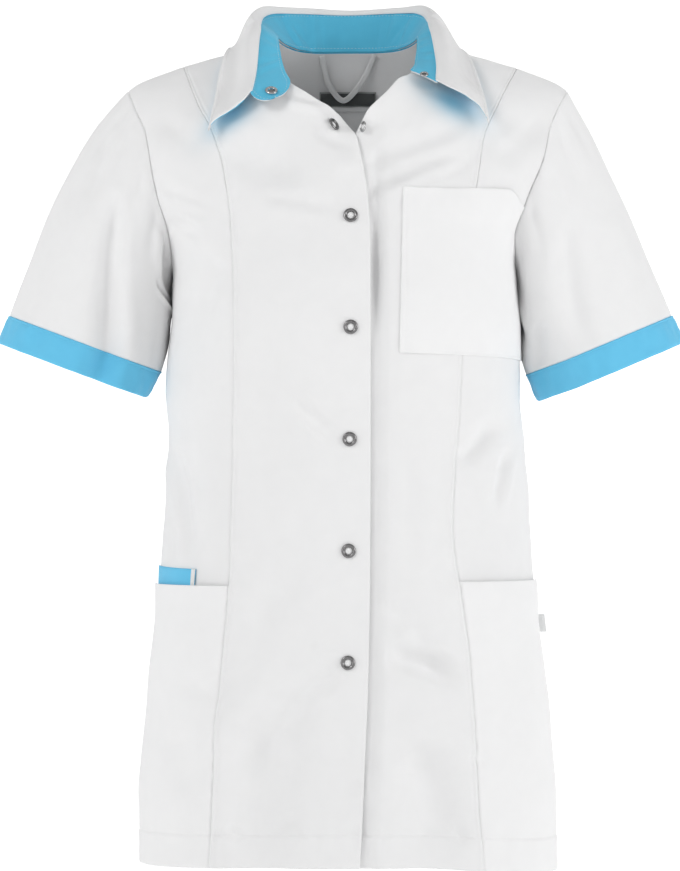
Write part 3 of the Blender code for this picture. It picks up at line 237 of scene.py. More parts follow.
ripples = [  # waves per metre across and up, amount in mm, phase: the cloth is never quite flat
    (9, 5, .35, .4), (-6, 11, .30, 2.1), (17, 7, .16, 1.2), (4, 21, .14, 4.0), (-23, 12, .09, .7),
    (14, -19, .10, 3.3), (31, 16, .05, 5.1),
]

lowerSections = len(torso["right"])
sideWidth = {s: smooth(torso["z"][:lowerSections], torso[s]) for s in sideSign}
depthAt = {s: smooth(torso["z"], torso[s]) for s in ("front", "back")}
armholeX = {s: smooth(armhole["z"], armhole[s]) for s in sideSign}
armholeShare = smooth(armhole["z"], armhole["depthShare"])
princessX = {s: smooth(princess["z"], princess[s]) for s in sideSign}
edgeX = {s: smooth(frontEdge["z"], frontEdge[s]) for s in sideSign}
seamHeight = smooth(shoulder["share"], shoulder["z"])
lapelEdge = smooth([p[1] for p in neckline["left"]], [p[0] for p in neckline["left"]])


def halfWidth(side, z):
    cut = (1 - armholeShare(z) ** torso["oval"]) ** (1 / torso["oval"])
    return np.where(z <= armhole["pit"], sideWidth[side](z), armholeX[side](z) / cut)


def outerX(side, z):
    return np.where(z <= armhole["pit"], sideWidth[side](z), armholeX[side](z))


def shoulderHeight(side, x):
    tip, neck = armholeX[side](armhole["tip"]), shoulder["neckHalf"]
    return seamHeight((np.abs(x) - neck) / (tip - neck))


def angleOf(side, x, z):
    share = np.clip(np.abs(x) / halfWidth(side, z), 0, 1)
    return np.sign(x) * np.arcsin(share ** (torso["oval"] / 2))


def bodyBase(side, sheet, angle, z):
    sin, cos = np.sin(angle), np.cos(angle)
    power = 2 / torso["oval"]
    x = halfWidth(side, z) * np.sign(sin) * np.abs(sin) ** power
    depth = depthAt[sheet](z) * np.sign(cos) * np.abs(cos) ** power
    if sheet == "front":
        bust = torso["bust"]
        depth = depth + bust["fullness"] * bell((x - bust["x"]) / bust["width"]) \
            * bell((z - bust["z"]) / bust["height"]) * ease(0, .5, cos)
    below = np.clip((shoulderHeight(side, x) - z) / shoulder["rounding"], 0, 1)
    depth = depth * np.sqrt(1 - (1 - below) ** 2)
    y = -depth if sheet == "front" else depth
    return np.stack(np.broadcast_arrays(sideSign[side] * x, y, z), axis=-1)


def bodyNormal(side, sheet, angle, z):
    across = bodyBase(side, sheet, angle + .01, z) - bodyBase(side, sheet, angle - .01, z)
    up = bodyBase(side, sheet, angle, z) - bodyBase(side, sheet, angle, z - .0002)
    return unit(np.cross(across, up) * sideSign[side] * (1 if sheet == "front" else -1))


def broadRelief(sheet, x, z):
    relief = np.zeros(x.shape)
    for x0, z0, x1, z1, width, depth in np.array(broadFolds[sheet]) / 1000:
        length = math.hypot(x1 - x0, z1 - z0)
        run = ((x1 - x0) / length, (z1 - z0) / length)
        ahead = (x - x0) * run[0] + (z - z0) * run[1]
        aside = (x - x0) * run[1] - (z - z0) * run[0]
        fade = ease(-.25, .35, ahead / length)
        if z1 > torso["hemZ"]:
            fade = fade * fall(.65, 1.25, ahead / length)
        relief += depth * bell(aside / width) * fade
    return relief


def creaseRelief(table, x, z):
    # a soft trough along a bent line, with a low ridge on the side it leans to
    relief = np.zeros(x.shape)
    for x0, z0, bendX, bendZ, x1, z1, width, depth, lean in table.values():
        t = np.linspace(0, 1, creaseForm["steps"])[:, None]
        line = ((1 - t) ** 2 * [x0, z0] + 2 * t * (1 - t) * [bendX, bendZ] + t * t * [x1, z1]) / 1000
        width, depth = width / 1000, depth / 1000
        reach = creaseForm["reach"] * width
        near = ((x > line[:, 0].min() - reach) & (x < line[:, 0].max() + reach)
                & (z > line[:, 1].min() - reach) & (z < line[:, 1].max() + reach))
        if not near.any():
            continue
        px, pz = x[near], z[near]
        best, side, share = np.full(px.shape, 9.0), np.zeros(px.shape), np.zeros(px.shape)
        for k in range(len(line) - 1):
            (ax, az), (bx, bz) = line[k], line[k + 1]
            dx, dz = bx - ax, bz - az
            s = np.clip(((px - ax) * dx + (pz - az) * dz) / (dx * dx + dz * dz), 0, 1)
            away = np.hypot(px - ax - s * dx, pz - az - s * dz)
            closer = away < best
            best = np.where(closer, away, best)
            side = np.where(closer, np.sign((px - ax) * dz - (pz - az) * dx), side)
            share = np.where(closer, (k + s) / (len(line) - 1), share)
        aside = best * side / width
        ridgeAside = (aside - creaseForm["ridgeAway"] * np.sign(lean)) / creaseForm["ridgeWidth"]
        shape = bell(aside) - abs(lean) * creaseForm["ridge"] * bell(ridgeAside)
        relief[near] += creaseForm["strength"] * depth * shape \
            * ease(0, creaseForm["fadeIn"], share) * fall(creaseForm["fadeOut"], 1, share)
    return relief


def rippleRelief(x, z):
    relief = np.zeros(x.shape)
    for across, up, amount, phase in ripples:
        relief += amount / 1000 * np.sin(2 * math.pi * (across * x + up * z) + phase
                                         + 1.3 * np.sin(9 * x - 7 * z + phase))
    return relief


def bodyFace(side, sheet, x, z):
    x, z = (np.array(a) for a in np.broadcast_arrays(np.asarray(x, float), np.asarray(z, float)))
    angle = angleOf(side, x, z)
    normals = bodyNormal(side, sheet, angle, z)
    worldX = sideSign[side] * x
    calm = ease(0, .02, shoulderHeight(side, x) - z)  # quiet where the panels are sewn at the top
    relief = (broadRelief(sheet, worldX, z)
              + (creaseRelief(creases[sheet], worldX, z) + rippleRelief(worldX, z)) * calm)
    return bodyBase(side, sheet, angle, z) + normals * relief[..., None], normals


# Node groups that several finishes share

def newGroup(name, inputs, outputs):
    group = bpy.data.node_groups.new(name, "ShaderNodeTree")
    for label, kind, value in inputs:
        socket = group.interface.new_socket(label, in_out="INPUT", socket_type=kind)
        if value is not None:
            socket.default_value = value
    for label in outputs:
        group.interface.new_socket(label, in_out="OUTPUT", socket_type="NodeSocketFloat")
    return group, group.nodes.new("NodeGroupInput").outputs, group.nodes.new("NodeGroupOutput").inputs


def addNode(tree, kind, values=None, sources=None, **traits):
    node = tree.nodes.new("ShaderNode" + kind)
    for trait, value in traits.items():
        setattr(node, trait, value)
    for socket, value in (values or {}).items():
        node.inputs[socket].default_value = value
    for socket, source in (sources or {}).items():
        tree.links.new(source, node.inputs[socket])
    return node


def mathNode(tree, operation, *terms):
    node = addNode(tree, "Math", operation=operation)
    for socket, term in zip(node.inputs, terms):
        if isinstance(term, (int, float)):
            socket.default_value = term
        else:
            tree.links.new(term, socket)
    return node.outputs[0]


def times(tree, a, b):
    return mathNode(tree, "MULTIPLY", a, b)


def plus(tree, a, b):
    return mathNode(tree, "ADD", a, b)


weaveForm = {"rib": .5, "yarn": .22, "yarnsPerRib": 3, "slubScale": 260}
rumpleForm = {"broad": 16, "fine": 70, "fineShare": .35, "distortion": .4}


def twillGroup():
    # diagonal ribs and single yarns, from cloth coordinates in metres
    group, given, made = newGroup(
        "twillWeave",
        [("Cloth", "NodeSocketVector", None), ("Ribs per metre", "NodeSocketFloat", 1400)],
        ["Height", "Shade"])
    parts = addNode(group, "SeparateXYZ", sources={0: given["Cloth"]})
    across, up = (times(group, parts.outputs[k], given["Ribs per metre"]) for k in (0, 1))
    ribWave = mathNode(group, "SINE", times(group, plus(group, across, up), 2 * math.pi))
    yarnWave = mathNode(group, "SINE", times(group, across, 2 * math.pi * weaveForm["yarnsPerRib"]))
    height = plus(group, times(group, ribWave, weaveForm["rib"]),
                  times(group, yarnWave, weaveForm["yarn"]))
    slub = addNode(group, "TexNoise", {"Scale": weaveForm["slubScale"], "Detail": 2},
                   {"Vector": given["Cloth"]})
    group.links.new(plus(group, height, slub.outputs["Fac"]), made["Height"])
    group.links.new(plus(group, times(group, height, .5), .5), made["Shade"])
    return group


def rumpleGroup():
    # the faint unevenness of washed and pressed cloth
    group, given, made = newGroup(
        "pressedRumple",
        [("Place", "NodeSocketVector", None), ("Fine", "NodeSocketFloat", rumpleForm["fine"])],
        ["Height", "Mottle"])
    place, distortion = given["Place"], rumpleForm["distortion"]
    broad = addNode(group, "TexNoise", {"Scale": rumpleForm["broad"], "Detail": 2,
                                        "Distortion": distortion}, {"Vector": place})
    fine = addNode(group, "TexNoise", {"Detail": 4, "Distortion": distortion},
                   {"Vector": place, "Scale": given["Fine"]})
    fineHeight = times(group, fine.outputs["Fac"], rumpleForm["fineShare"])
    group.links.new(plus(group, broad.outputs["Fac"], fineHeight), made["Height"])
    group.links.new(fine.outputs["Fac"], made["Mottle"])
    return group


def paintedBounceGroup():
    # painted blue bounce light and shade: a mask of where the collar's blue underside would light the
    # white cloth close below it
    group, given, made = newGroup("paintedCollarBounce", [("Place", "NodeSocketVector", None)], ["Mask"])
    total = None
    for x, z, turn, reach, width, amount in paintedCollarBounce:
        spot = addNode(group, "Mapping", {"Location": (x, -.09, z), "Scale": (reach, .07, width),
                                          "Rotation": (0, math.radians(turn), 0)},
                       {"Vector": given["Place"]}, vector_type="TEXTURE")
        away = addNode(group, "VectorMath", sources={0: spot.outputs[0]}, operation="LENGTH")
        squared = times(group, mathNode(group, "POWER", away.outputs["Value"], 2), -1)
        mask = times(group, mathNode(group, "EXPONENT", squared), amount)
        total = mask if total is None else mathNode(group, "MAXIMUM", total, mask)
    group.links.new(total, made["Mask"])
    return group


# spots of painted blue bounce shade below the collar's front edges: x, z, turn, reach, width, amount
paintedCollarBounce = [  # x, z, turn in degrees, reach along the collar's edge, width, amount
    (-.0985, -.0640, -40, .0270, .0105, .85), (.0893, -.0530, 34, .0270, .0125, .97),
    (.0720, -.0410, 24, .0170, .0075, .70),
]
twill, rumple, paintedBounce = twillGroup(), rumpleGroup(), paintedBounceGroup()

whiteForm = (.82, .12, .00006, .0007, 1400)
finishes = {  # slot, colour, darker tone in the weave, roughness, sheen, weave, rumple, ribs a metre
    "whiteTwill": ("white_cloth", (.872, .872, .874), (.828, .828, .832), *whiteForm),
    # frontTwill is the white twill that carries the painted blue bounce shade under the collar
    "frontTwill": ("white_cloth", (.872, .872, .874), (.828, .828, .832), *whiteForm),
    # pocketTwill is whiteTwill painted lighter: painted light on the pockets
    "pocketTwill": ("white_cloth", (.905, .905, .907), (.865, .865, .868), *whiteForm),
    "blueTwill": ("blue_cloth", (.112, .56, .80), (.080, .465, .700), .78, .18, .00007, .0009, 1400),
    # cuffTwill is much the same blue twill painted lighter: painted light on the cuffs and the phone
    # pocket
    "cuffTwill": ("blue_cloth", (.155, .60, .88), (.120, .520, .805), .78, .15, .00007, .0007, 1400),
    "whiteTape": ("white_cloth", (.86, .87, .87), (.78, .79, .79), .7, .1, .00009, .0003, 1900),
    "whiteThread": ("white_cloth", (.90, .905, .91), (.78, .79, .80), .55, .1, .00003, .0001, 3000),
    "blueThread": ("blue_cloth", (.20, .60, .82), (.12, .48, .72), .55, .1, .00003, .0001, 3000),
    "labelWeave": ("label_weave", (.10, .108, .108), (.06, .066, .068), .55, .05, .00008, .0003, 2400),
    "labelBorder": ("label_weave", (.36, .37, .37), (.28, .29, .29), .55, .05, .00008, .0003, 2400),
}
# the blue of the painted bounce shade that frontTwill gets under the collar
paintedBounceColours = {"frontTwill": (.115, .41, .585)}
nickels = {  # slot, colour, worn tone that also stands in for painted glints, roughness, scale of the brushing
    "darkNickel": ("snap_metal", (.130, .127, .133), (.42, .415, .41), .27, 900),
    "brightNickel": ("snap_metal", (.38, .38, .39), (.75, .75, .74), .24, 900),
}


def newMaterial(name, values):
    material = bpy.data.materials.new(name)
    material.use_nodes = True
    shader = material.node_tree.nodes["Principled BSDF"]
    for socket, value in values.items():
        shader.inputs[socket].default_value = value
    return material, material.node_tree, shader


def blended(tree, share, low, high):
    # a mix of two colours, each given as numbers or as a socket
    mix = addNode(tree, "Mix", sources={0: share}, data_type="RGBA")
    for socket, colour in ((6, low), (7, high)):
        if isinstance(colour, tuple):
            mix.inputs[socket].default_value = (*colour, 1)
        else:
            tree.links.new(colour, mix.inputs[socket])
    return mix.outputs[2]


def applyFinish(tree, shader, colour, rough, height, strength, distance):
    bump = addNode(tree, "Bump", {"Strength": strength, "Distance": distance}, {"Height": height})
    for source, socket in ((colour, "Base Color"), (rough, "Roughness"),
                           (bump.outputs["Normal"], "Normal")):
        tree.links.new(source, shader.inputs[socket])


def clothMaterial(name):
    _, high, low, roughness, sheen, weaveHeight, rumpleHeight, ribs = finishes[name]
    material, tree, shader = newMaterial(name, {"Sheen Weight": sheen, "Sheen Roughness": .5,
                                                "Specular IOR Level": .25})
    place = addNode(tree, "TexCoord").outputs
    weave = addNode(tree, "Group", {"Ribs per metre": ribs}, {"Cloth": place["UV"]},
                    node_tree=twill).outputs
    soft = addNode(tree, "Group", sources={"Place": place["Object"]}, node_tree=rumple).outputs
    shade = plus(tree, times(tree, weave["Shade"], .45), times(tree, soft["Mottle"], .75))
    colour = blended(tree, shade, low, high)
    # paint the collar's blue bounce light and shade into the front cloth's colour
    if name in paintedBounceColours:
        near = addNode(tree, "Group", sources={"Place": place["Object"]}, node_tree=paintedBounce)
        colour = blended(tree, near.outputs["Mask"], colour, paintedBounceColours[name])
    rough = plus(tree, times(tree, soft["Mottle"], .12), roughness - .06)
    height = plus(tree, times(tree, weave["Height"], weaveHeight * 1000),
                  times(tree, soft["Height"], rumpleHeight * 1000))
    applyFinish(tree, shader, colour, rough, height, .8, .001)
    return material


def nickelMaterial(name):
    _, colour, wornAndGlint, roughness, brushing = nickels[name]
    material, tree, shader = newMaterial(name, {"Metallic": 1})
    place = addNode(tree, "TexCoord").outputs["Object"]
    brushed = addNode(tree, "TexNoise", {"Scale": brushing, "Detail": 4}, {"Vector": place})
    noise = brushed.outputs["Fac"]
    # random lighter speckles: wear on the metal, and painted glints
    tone = blended(tree, times(tree, noise, .7), colour, wornAndGlint)
    rough = plus(tree, times(tree, noise, .2), roughness - .08)
    applyFinish(tree, shader, tone, rough, noise, .3, .00005)
    return material


materials = {name: clothMaterial(name) for name in finishes}
materials.update({name: nickelMaterial(name) for name in nickels})
print("finishes ready")


# Making pieces

def newPiece(name, points, faces, finish, nodes=(), uv=None):
    points = np.asarray(points)
    mesh = bpy.data.meshes.new(name)
    mesh.from_pydata(points.tolist(), [], faces)
    mesh.shade_smooth()
    corner = np.zeros(len(mesh.loops), np.int32)
    mesh.loops.foreach_get("vertex_index", corner)
    uv = points[:, [0, 2]] if uv is None else uv
    layer = mesh.uv_layers.new(name="cloth")
    layer.data.foreach_set("uv", np.asarray(uv, np.float32)[corner].ravel())
    mesh.materials.append(materials[finish])
    piece = bpy.data.objects.new(name, mesh)
    bpy.context.scene.collection.objects.link(piece)
    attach(piece, "root")
    if nodes:
        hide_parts(*nodes)
    return piece


def gridNormals(grid, facing, around=False):
    down = np.gradient(grid, axis=0)
    if around:
        across = np.roll(grid, -1, axis=1) - np.roll(grid, 1, axis=1)
    else:
        across = np.gradient(grid, axis=1)
    normals = unit(np.cross(across, down))
    return normals * (1 if np.sum(normals * facing) > 0 else -1)


def clothCoordinates(grid):
    # how far each point lies along and up the cloth, in metres
    steps = np.linalg.norm(np.diff(grid, axis=1), axis=2)
    u = np.concatenate([np.zeros((len(grid), 1)), np.cumsum(steps, axis=1)], axis=1)
    rises = np.linalg.norm(np.diff(grid, axis=0), axis=2)
    v = np.concatenate([np.zeros((1, grid.shape[1])), np.cumsum(rises, axis=0)], axis=0)
    return np.stack([u, v], axis=2).reshape(-1, 2)


def shell(name, outer, facing, thickness, finish, nodes=(), around=False):
    # a closed thin wall with a rounded rim under a grid of points
    rows, columns = outer.shape[:2]
    normals = gridNormals(outer, facing, around)
    thick = np.broadcast_to(np.asarray(thickness, float), (rows, columns))[..., None]
    inner = outer - normals * thick
    count = rows * columns
    index = np.arange(count).reshape(rows, columns)
    if around:
        index = np.concatenate([index, index[:, :1]], axis=1)
    quads = np.stack([index[:-1, :-1], index[:-1, 1:], index[1:, 1:], index[1:, :-1]], axis=-1)
    quads = quads.reshape(-1, 4)
    flip = np.sum(np.cross(outer[0, 1] - outer[0, 0], outer[1, 0] - outer[0, 0]) * normals[0, 0]) < 0
    if flip:
        quads = quads[:, ::-1]
    points = [outer.reshape(-1, 3), inner.reshape(-1, 3)]
    uv = clothCoordinates(outer)
    uvs = [uv, uv]
    faces = quads.tolist() + (quads[:, ::-1] + count).tolist()
    if around:
        rings = [index[0, :-1], index[-1, :-1]]
    else:
        rings = [np.concatenate([index[0], index[1:, -1], index[-1, -2::-1], index[-2:0:-1, 0]])]
    flatOuter, flatInner = outer.reshape(-1, 3), inner.reshape(-1, 3)
    for ring in rings:
        middle = (flatOuter[ring] + flatInner[ring]) / 2
        tangent = np.roll(flatOuter[ring], -1, axis=0) - np.roll(flatOuter[ring], 1, axis=0)
        outward = unit(np.cross(tangent, normals.reshape(-1, 3)[ring]))
        rowInside = ring // columns
        towards = flatOuter[np.where(rowInside == 0, ring + columns,
                                     np.where(rowInside == rows - 1, ring - columns, ring))]
        if not around:
            column = (ring % columns)[:, None]
            towards = np.where(column == 0, flatOuter[np.minimum(ring + 1, count - 1)], towards)
            towards = np.where(column == columns - 1, flatOuter[ring - 1], towards)
        sign = -np.sign(np.sum(outward * (towards - flatOuter[ring]), axis=1, keepdims=True))
        bulge = np.linalg.norm(flatOuter[ring] - flatInner[ring], axis=1, keepdims=True) * .3
        base = sum(len(p) for p in points)
        points.append(middle + outward * sign * bulge)
        uvs.append(uv[ring])
        size = len(ring)
        for a in range(size):
            b = (a + 1) % size
            strip = [(ring[a], ring[b], base + b, base + a),
                     (base + a, base + b, ring[b] + count, ring[a] + count)]
            faces += [tuple(int(i) for i in face) for face in strip]
    points = np.vstack(points)
    piece = newPiece(name, points, faces, finish, nodes, np.vstack(uvs))
    fixNormals(piece)
    return piece


def fixNormals(piece):
    work = bmesh.new()
    work.from_mesh(piece.data)
    bmesh.ops.recalc_face_normals(work, faces=work.faces)
    if work.calc_volume(signed=True) < 0:
        bmesh.ops.reverse_faces(work, faces=work.faces)
    work.to_mesh(piece.data)
    work.free()


def nearest(values, target):
    return int(np.argmin(np.abs(values - target)))


def edgeSteps(total, spacing, startFine, endFine):
    # distances from 0 to total, closer together near the two edges
    start = np.array(startFine)
    end = total - np.array(endFine)[::-1]
    count = max(2, int(round((end[0] - start[-1]) / spacing)))
    return np.concatenate([start, np.linspace(start[-1], end[0], count + 1)[1:-1], end])


fineEdge = [0, .0004, .0009, .0015, .0021, .0028, .0038, .0052, .0072]
sideFine = [0, .0005, .0012, .0022, .0040]
stitch = {"pitch": .0031, "length": .0024, "width": .00042, "height": .00022}


def stitchPieces(lines):
    # one small spindle for each stitch along each line of (points, normals)
    points, faces = [], []
    for path, normals in lines:
        lengths = np.concatenate([[0], np.cumsum(np.linalg.norm(np.diff(path, axis=0), axis=1))])
        count = int(lengths[-1] / stitch["pitch"])
        if count < 1:
            continue
        at = (np.arange(count) + .5) * lengths[-1] / count
        place = [np.stack([np.interp(at + d, lengths, path[:, k]) for k in range(3)], axis=1)
                 for d in (-stitch["length"] / 2, 0, stitch["length"] / 2)]
        out = unit(np.stack([np.interp(at, lengths, normals[:, k]) for k in range(3)], axis=1))
        side = unit(np.cross(out, place[2] - place[0])) * stitch["width"] / 2
        rise = out * stitch["height"]
        ring = [place[0] - rise * .3, place[1] - side, place[1] + rise, place[1] + side,
                place[1] - rise, place[2] - rise * .3]
        base = len(points) * 6
        for k in range(count):
            points.append([r[k] for r in ring])
            o = base + 6 * k
            for a, b in ((1, 2), (2, 3), (3, 4), (4, 1)):
                faces.append((o, o + b, o + a))
                faces.append((o + 5, o + a, o + b))
    return np.array(points).reshape(-1, 3), faces


def sewing(name, lines, finish="whiteThread"):
    points, faces = stitchPieces(lines)
    return newPiece(name, points, faces, finish)


# Front and back panels

panel = {"cloth": .0008, "hem": .0016, "hemHeight": .028, "rowSpacing": .0030, "columnSpacing": .0020,
         "topRows": 42, "facingWidth": .058, "raise": .0003, "underlapDrop": .0007,
         "pocketRaise": .0009, "seamStitch": .0028}
snap = {"radius": .0062, "hole": .0034, "height": .0018, "top": -.1544, "spacing": .0956,
        "x": [.0021, .0021, .0012, .0004, -.0002], "seat": .0007, "openRing": (-.0130, -.0749),
        "openStud": (.0138, -.0776), "sides": 40}
pocketTop = -.130  # the rows run level below here and fan out to the shoulder seam above
pocketMouth = -.470
rightEdge = smooth([p[1] for p in neckline["right"]], [p[0] for p in neckline["right"]])

hemRows = [0, .0004, .0010, .0017, .0026, .0040, .0065, .0095, .0130, .0165, .0200, .0230, .0250,
           .0262, .0270, .0276, .0283, .0292, .0305, .0325, .0350]


def levelRows(low, high):
    start = low + np.array(hemRows)
    count = int(round((high - start[-1]) / panel["rowSpacing"]))
    return np.concatenate([start, np.linspace(start[-1], high, count + 1)[1:]])


def topShares():
    t = np.linspace(0, 1, panel["topRows"] + 1)[1:]
    return 1 - (1 - t) ** 2, t


def hung(side, x, z):
    # the hem hangs lower towards the side seams
    width = halfWidth(side, z)
    drop = torso["hemDrop"][side] * ease(.3, 1, np.abs(x) / width)
    lowered = z - drop * fall(torso["hemZ"], torso["hemDropTop"], z)
    return x * halfWidth(side, lowered) / width, lowered


def edgeRows(side, levels, shares):
    points = neckline[side]
    corner = neckline["corner"]
    lower, upper = spline(points[:corner + 1], 14), spline(points[corner:], 14)
    path = along(np.vstack([lower, upper[1:]]), shares)
    return (sideSign[side] * np.concatenate([edgeX[side](levels), path[:, 0]]),
            np.concatenate([levels, path[:, 1]]))


def seamRows(side, levels, rises):
    top = float(shoulderHeight(side, princessX[side](princess["z"][-1])))
    z = np.concatenate([levels, pocketTop + (top - pocketTop) * rises])
    return princessX[side](z), z


def outerRows(side, levels, rises):
    z = np.concatenate([levels, pocketTop + (armhole["tip"] - pocketTop) * rises])
    return outerX(side, z), z


def liftToShoulder(side, x, z, rises, levels):
    top = slice(len(levels), None)
    rise = shoulderHeight(side, x[-1]) - z[-1]
    z[top] += rise * rises[:, None] ** 2
    return z


def hemRelief(z, x):
    # the folded hem stands a little proud, its stitch line draws in, and it puckers between
    above = z - torso["hemZ"]
    line = panel["hemHeight"]
    fold = .00050 * fall(line - .0005, line + .0015, above) * ease(0, .0012, above)
    drawn = -.00070 * bell((above - line) / .0010)
    wave = np.sin(2 * math.pi * x / .019 + 2.2 * np.sin(x * 31))
    return fold + drawn + .00035 * wave * bell((above - line) / .011)


def seamPucker(distance, run, amount=.00028, reach=.007):
    wave = np.sin(2 * math.pi * run / .016 + 2.5 * np.sin(run * 27)) \
        * (.6 + .4 * np.sin(run * 41 + 1.7))
    return amount * wave * np.exp(-np.abs(distance) / reach)


def lapped(distance):
    # a folded edge sewn down on its neighbour: a raised rim, a drawn-in stitch line, a round edge
    return (.00030 * fall(.005, .009, distance) - .00030 * bell((distance - .0028) / .0008)
            + .00012 * bell((distance - .0010) / .0008) - .00030 * fall(0, .0007, distance) ** 2)


def pocketZone(z):
    return fall(pocketMouth - .004, pocketMouth + .012, z)


def neckRoll(side, x, z):
    # the right front's free corner rolls inwards, so its open snap is seen from the side
    if side == "left":
        return np.zeros(np.shape(x))
    edge = -rightEdge(z)
    zone = ease(-.084, -.075, z) * fall(-.066, -.056, z)
    inward = -snap["openRing"][0] - x
    twist = -.46 * inward * bell(inward / .010) * bell((z - snap["openRing"][1]) / .010)
    return -.0040 * fall(.000, .022, x - edge) * zone + twist


def underFrontDrop(side, x, z):
    if side == "right":
        return np.zeros(x.shape)
    gape = frontEdge["gape"]
    lap = fall(.0045, .0180, x - edgeX["right"](z)) * fall(-.080, -.062, z)
    open_ = bell((z - gape["z"]) / gape["height"]) * bell((x - gape["x"]) / gape["width"])
    return -frontEdge["underDrop"] * lap - gape["depth"] * open_


def lapelTurn(side, x, z):
    if side == "right":
        return np.zeros(np.shape(x))
    return neckline["lapelRoll"] * bell((x - lapelEdge(z)) / .022) * ease(-.086, -.060, z) \
        * fall(-.034, -.018, z)


def hemThickness(z):
    above = z - torso["hemZ"]
    return panel["cloth"] + (panel["hem"] - panel["cloth"]) * fall(.0275, .0285, above)


def frontCentre(side):
    levels = levelRows(torso["hemZ"], pocketTop)
    rises, shares = topShares()
    edge, edgeZ = edgeRows(side, levels, shares)
    seam, seamZ = seamRows(side, levels, rises)
    width = .112
    steps = edgeSteps(width, panel["columnSpacing"], fineEdge, fineEdge) / width
    x = edge[:, None] + (seam - edge)[:, None] * steps
    z = edgeZ[:, None] + (seamZ - edgeZ)[:, None] * steps
    z = liftToShoulder(side, x, z, rises, levels)
    fromEdge, fromSeam = (steps * width)[None, :], ((1 - steps) * width)[None, :]
    hemZ = z.copy()
    x, z = hung(side, x, z)
    points, normals = bodyFace(side, "front", x, z)
    facing = panel["facingWidth"]
    lift = (underFrontDrop(side, x, z) + lapelTurn(side, x, z) + hemRelief(hemZ, x)
            + lapped(fromSeam) + seamPucker(fromSeam, z, .00048, .010)
            + .00030 * fall(facing - .003, facing + .004, fromEdge)
            - .00050 * fall(0, .0012, fromEdge) ** 2
            + seamPucker(fromEdge, z + .3, .00022, .010))
    raised = panel["raise"] + panel["pocketRaise"] * pocketZone(hemZ)
    lift = lift + raised * fall(.008, .026, fromSeam) + neckRoll(side, x, z)
    points = points + normals * lift[..., None]
    thick = hemThickness(hemZ) + .0008 * fall(.004, .012, fromEdge)
    name = f"front{side.capitalize()}Centre"
    piece = shell(name, points, normals, thick, "frontTwill", [f"front_{side}_centre"])
    at = nearest(fromSeam[0], panel["seamStitch"])
    hem = nearest(levels - torso["hemZ"], panel["hemHeight"])
    lines = [(points[:, at], normals[:, at]), (points[hem], normals[hem])]
    return piece, sewing(name + "Stitches", lines)


def sideGrid(side, levels, rises, fractions, underlap=()):
    # fractions run round the body from the princess seam to the side seam or the armhole
    seam, seamZ = seamRows(side, levels, rises)
    end, endZ = outerRows(side, levels, rises)
    start = angleOf(side, seam, seamZ)
    stop = angleOf(side, end, endZ)
    angle = start[:, None] + (stop - start)[:, None] * fractions
    z = seamZ[:, None] + (endZ - seamZ)[:, None] * fractions
    x = halfWidth(side, z) * np.abs(np.sin(angle)) ** (2 / torso["oval"])
    x[:, -1] = end
    if len(underlap):
        under = np.array(underlap)
        x = np.concatenate([seam[:, None] - under, x], axis=1)
        z = np.concatenate([np.repeat(seamZ[:, None], len(under), axis=1), z], axis=1)
    if len(rises):
        z = liftToShoulder(side, x, z, rises, levels)
    return x, z


sideArc = .088  # about how wide a side panel is round the body


def frontSide(side):
    levels = levelRows(torso["hemZ"], pocketTop)
    rises, _ = topShares()
    steps = edgeSteps(sideArc, panel["columnSpacing"],
                      [.0006, .0012, .0020, .0032, .0050, .0072], sideFine)
    fractions = steps / sideArc
    under = np.array([.0070, .0050, .0030, .0014, .0004])
    x, z = sideGrid(side, levels, rises, fractions, under)
    hemZ = z.copy()
    x, z = hung(side, x, z)
    points, normals = bodyFace(side, "front", x, z)
    fromSeam = np.concatenate([-under, steps])[None, :]
    fromSide = (sideArc - np.concatenate([np.zeros(len(under)), steps]))[None, :]
    drop = panel["underlapDrop"] + .0004 * pocketZone(hemZ)
    lift = (hemRelief(hemZ, x) - drop * fall(-.0004, .0014, fromSeam)
            + panel["raise"] * fall(.006, .022, np.maximum(fromSeam, 0)) * ease(-.001, .002, fromSeam)
            + seamPucker(fromSeam, z) - .0004 * fall(0, .0012, fromSide) ** 2
            + seamPucker(fromSide, z + .2, .0002))
    points = points + normals * lift[..., None]
    name = f"front{side.capitalize()}Side"
    piece = shell(name, points, normals, hemThickness(hemZ), "frontTwill", [f"front_{side}_side"])
    hem = nearest(levels - torso["hemZ"], panel["hemHeight"])
    first = len(under)
    return piece, sewing(name + "Stitches", [(points[hem, first:], normals[hem, first:])])


def backNeckHeight(x):
    lowered = (shoulder["neckZ"] + shoulder["backNeckDrop"]) \
        * (1 - (np.abs(x) / shoulder["neckHalf"]) ** 6)
    return shoulder["neckZ"] - lowered


def backHalf(side, levels, rises, fractions):
    end, endZ = outerRows(side, levels, rises)
    tip = float(armholeX[side](armhole["tip"]))
    neck = shoulder["neckHalf"]
    topX = np.interp(fractions, [0, 1 / 3, 1], [0, neck, tip])
    topZ = np.where(topX < neck, backNeckHeight(topX), shoulderHeight(side, topX))
    x = np.empty((len(end), len(fractions)))
    z = np.empty_like(x)
    for i in range(len(end)):
        if i < len(levels):
            turned = fractions * angleOf(side, end[i], endZ[i])
            x[i] = halfWidth(side, endZ[i]) * np.sin(turned) ** (2 / torso["oval"])
            z[i] = endZ[i]
            ratio = x[i] / end[i]
        else:
            t = rises[i - len(levels)]
            x[i] = end[i] * (ratio * (1 - t) + topX / tip * t)
            z[i] = pocketTop + (topZ - pocketTop) * t
    x[:, -1] = end
    return x, z


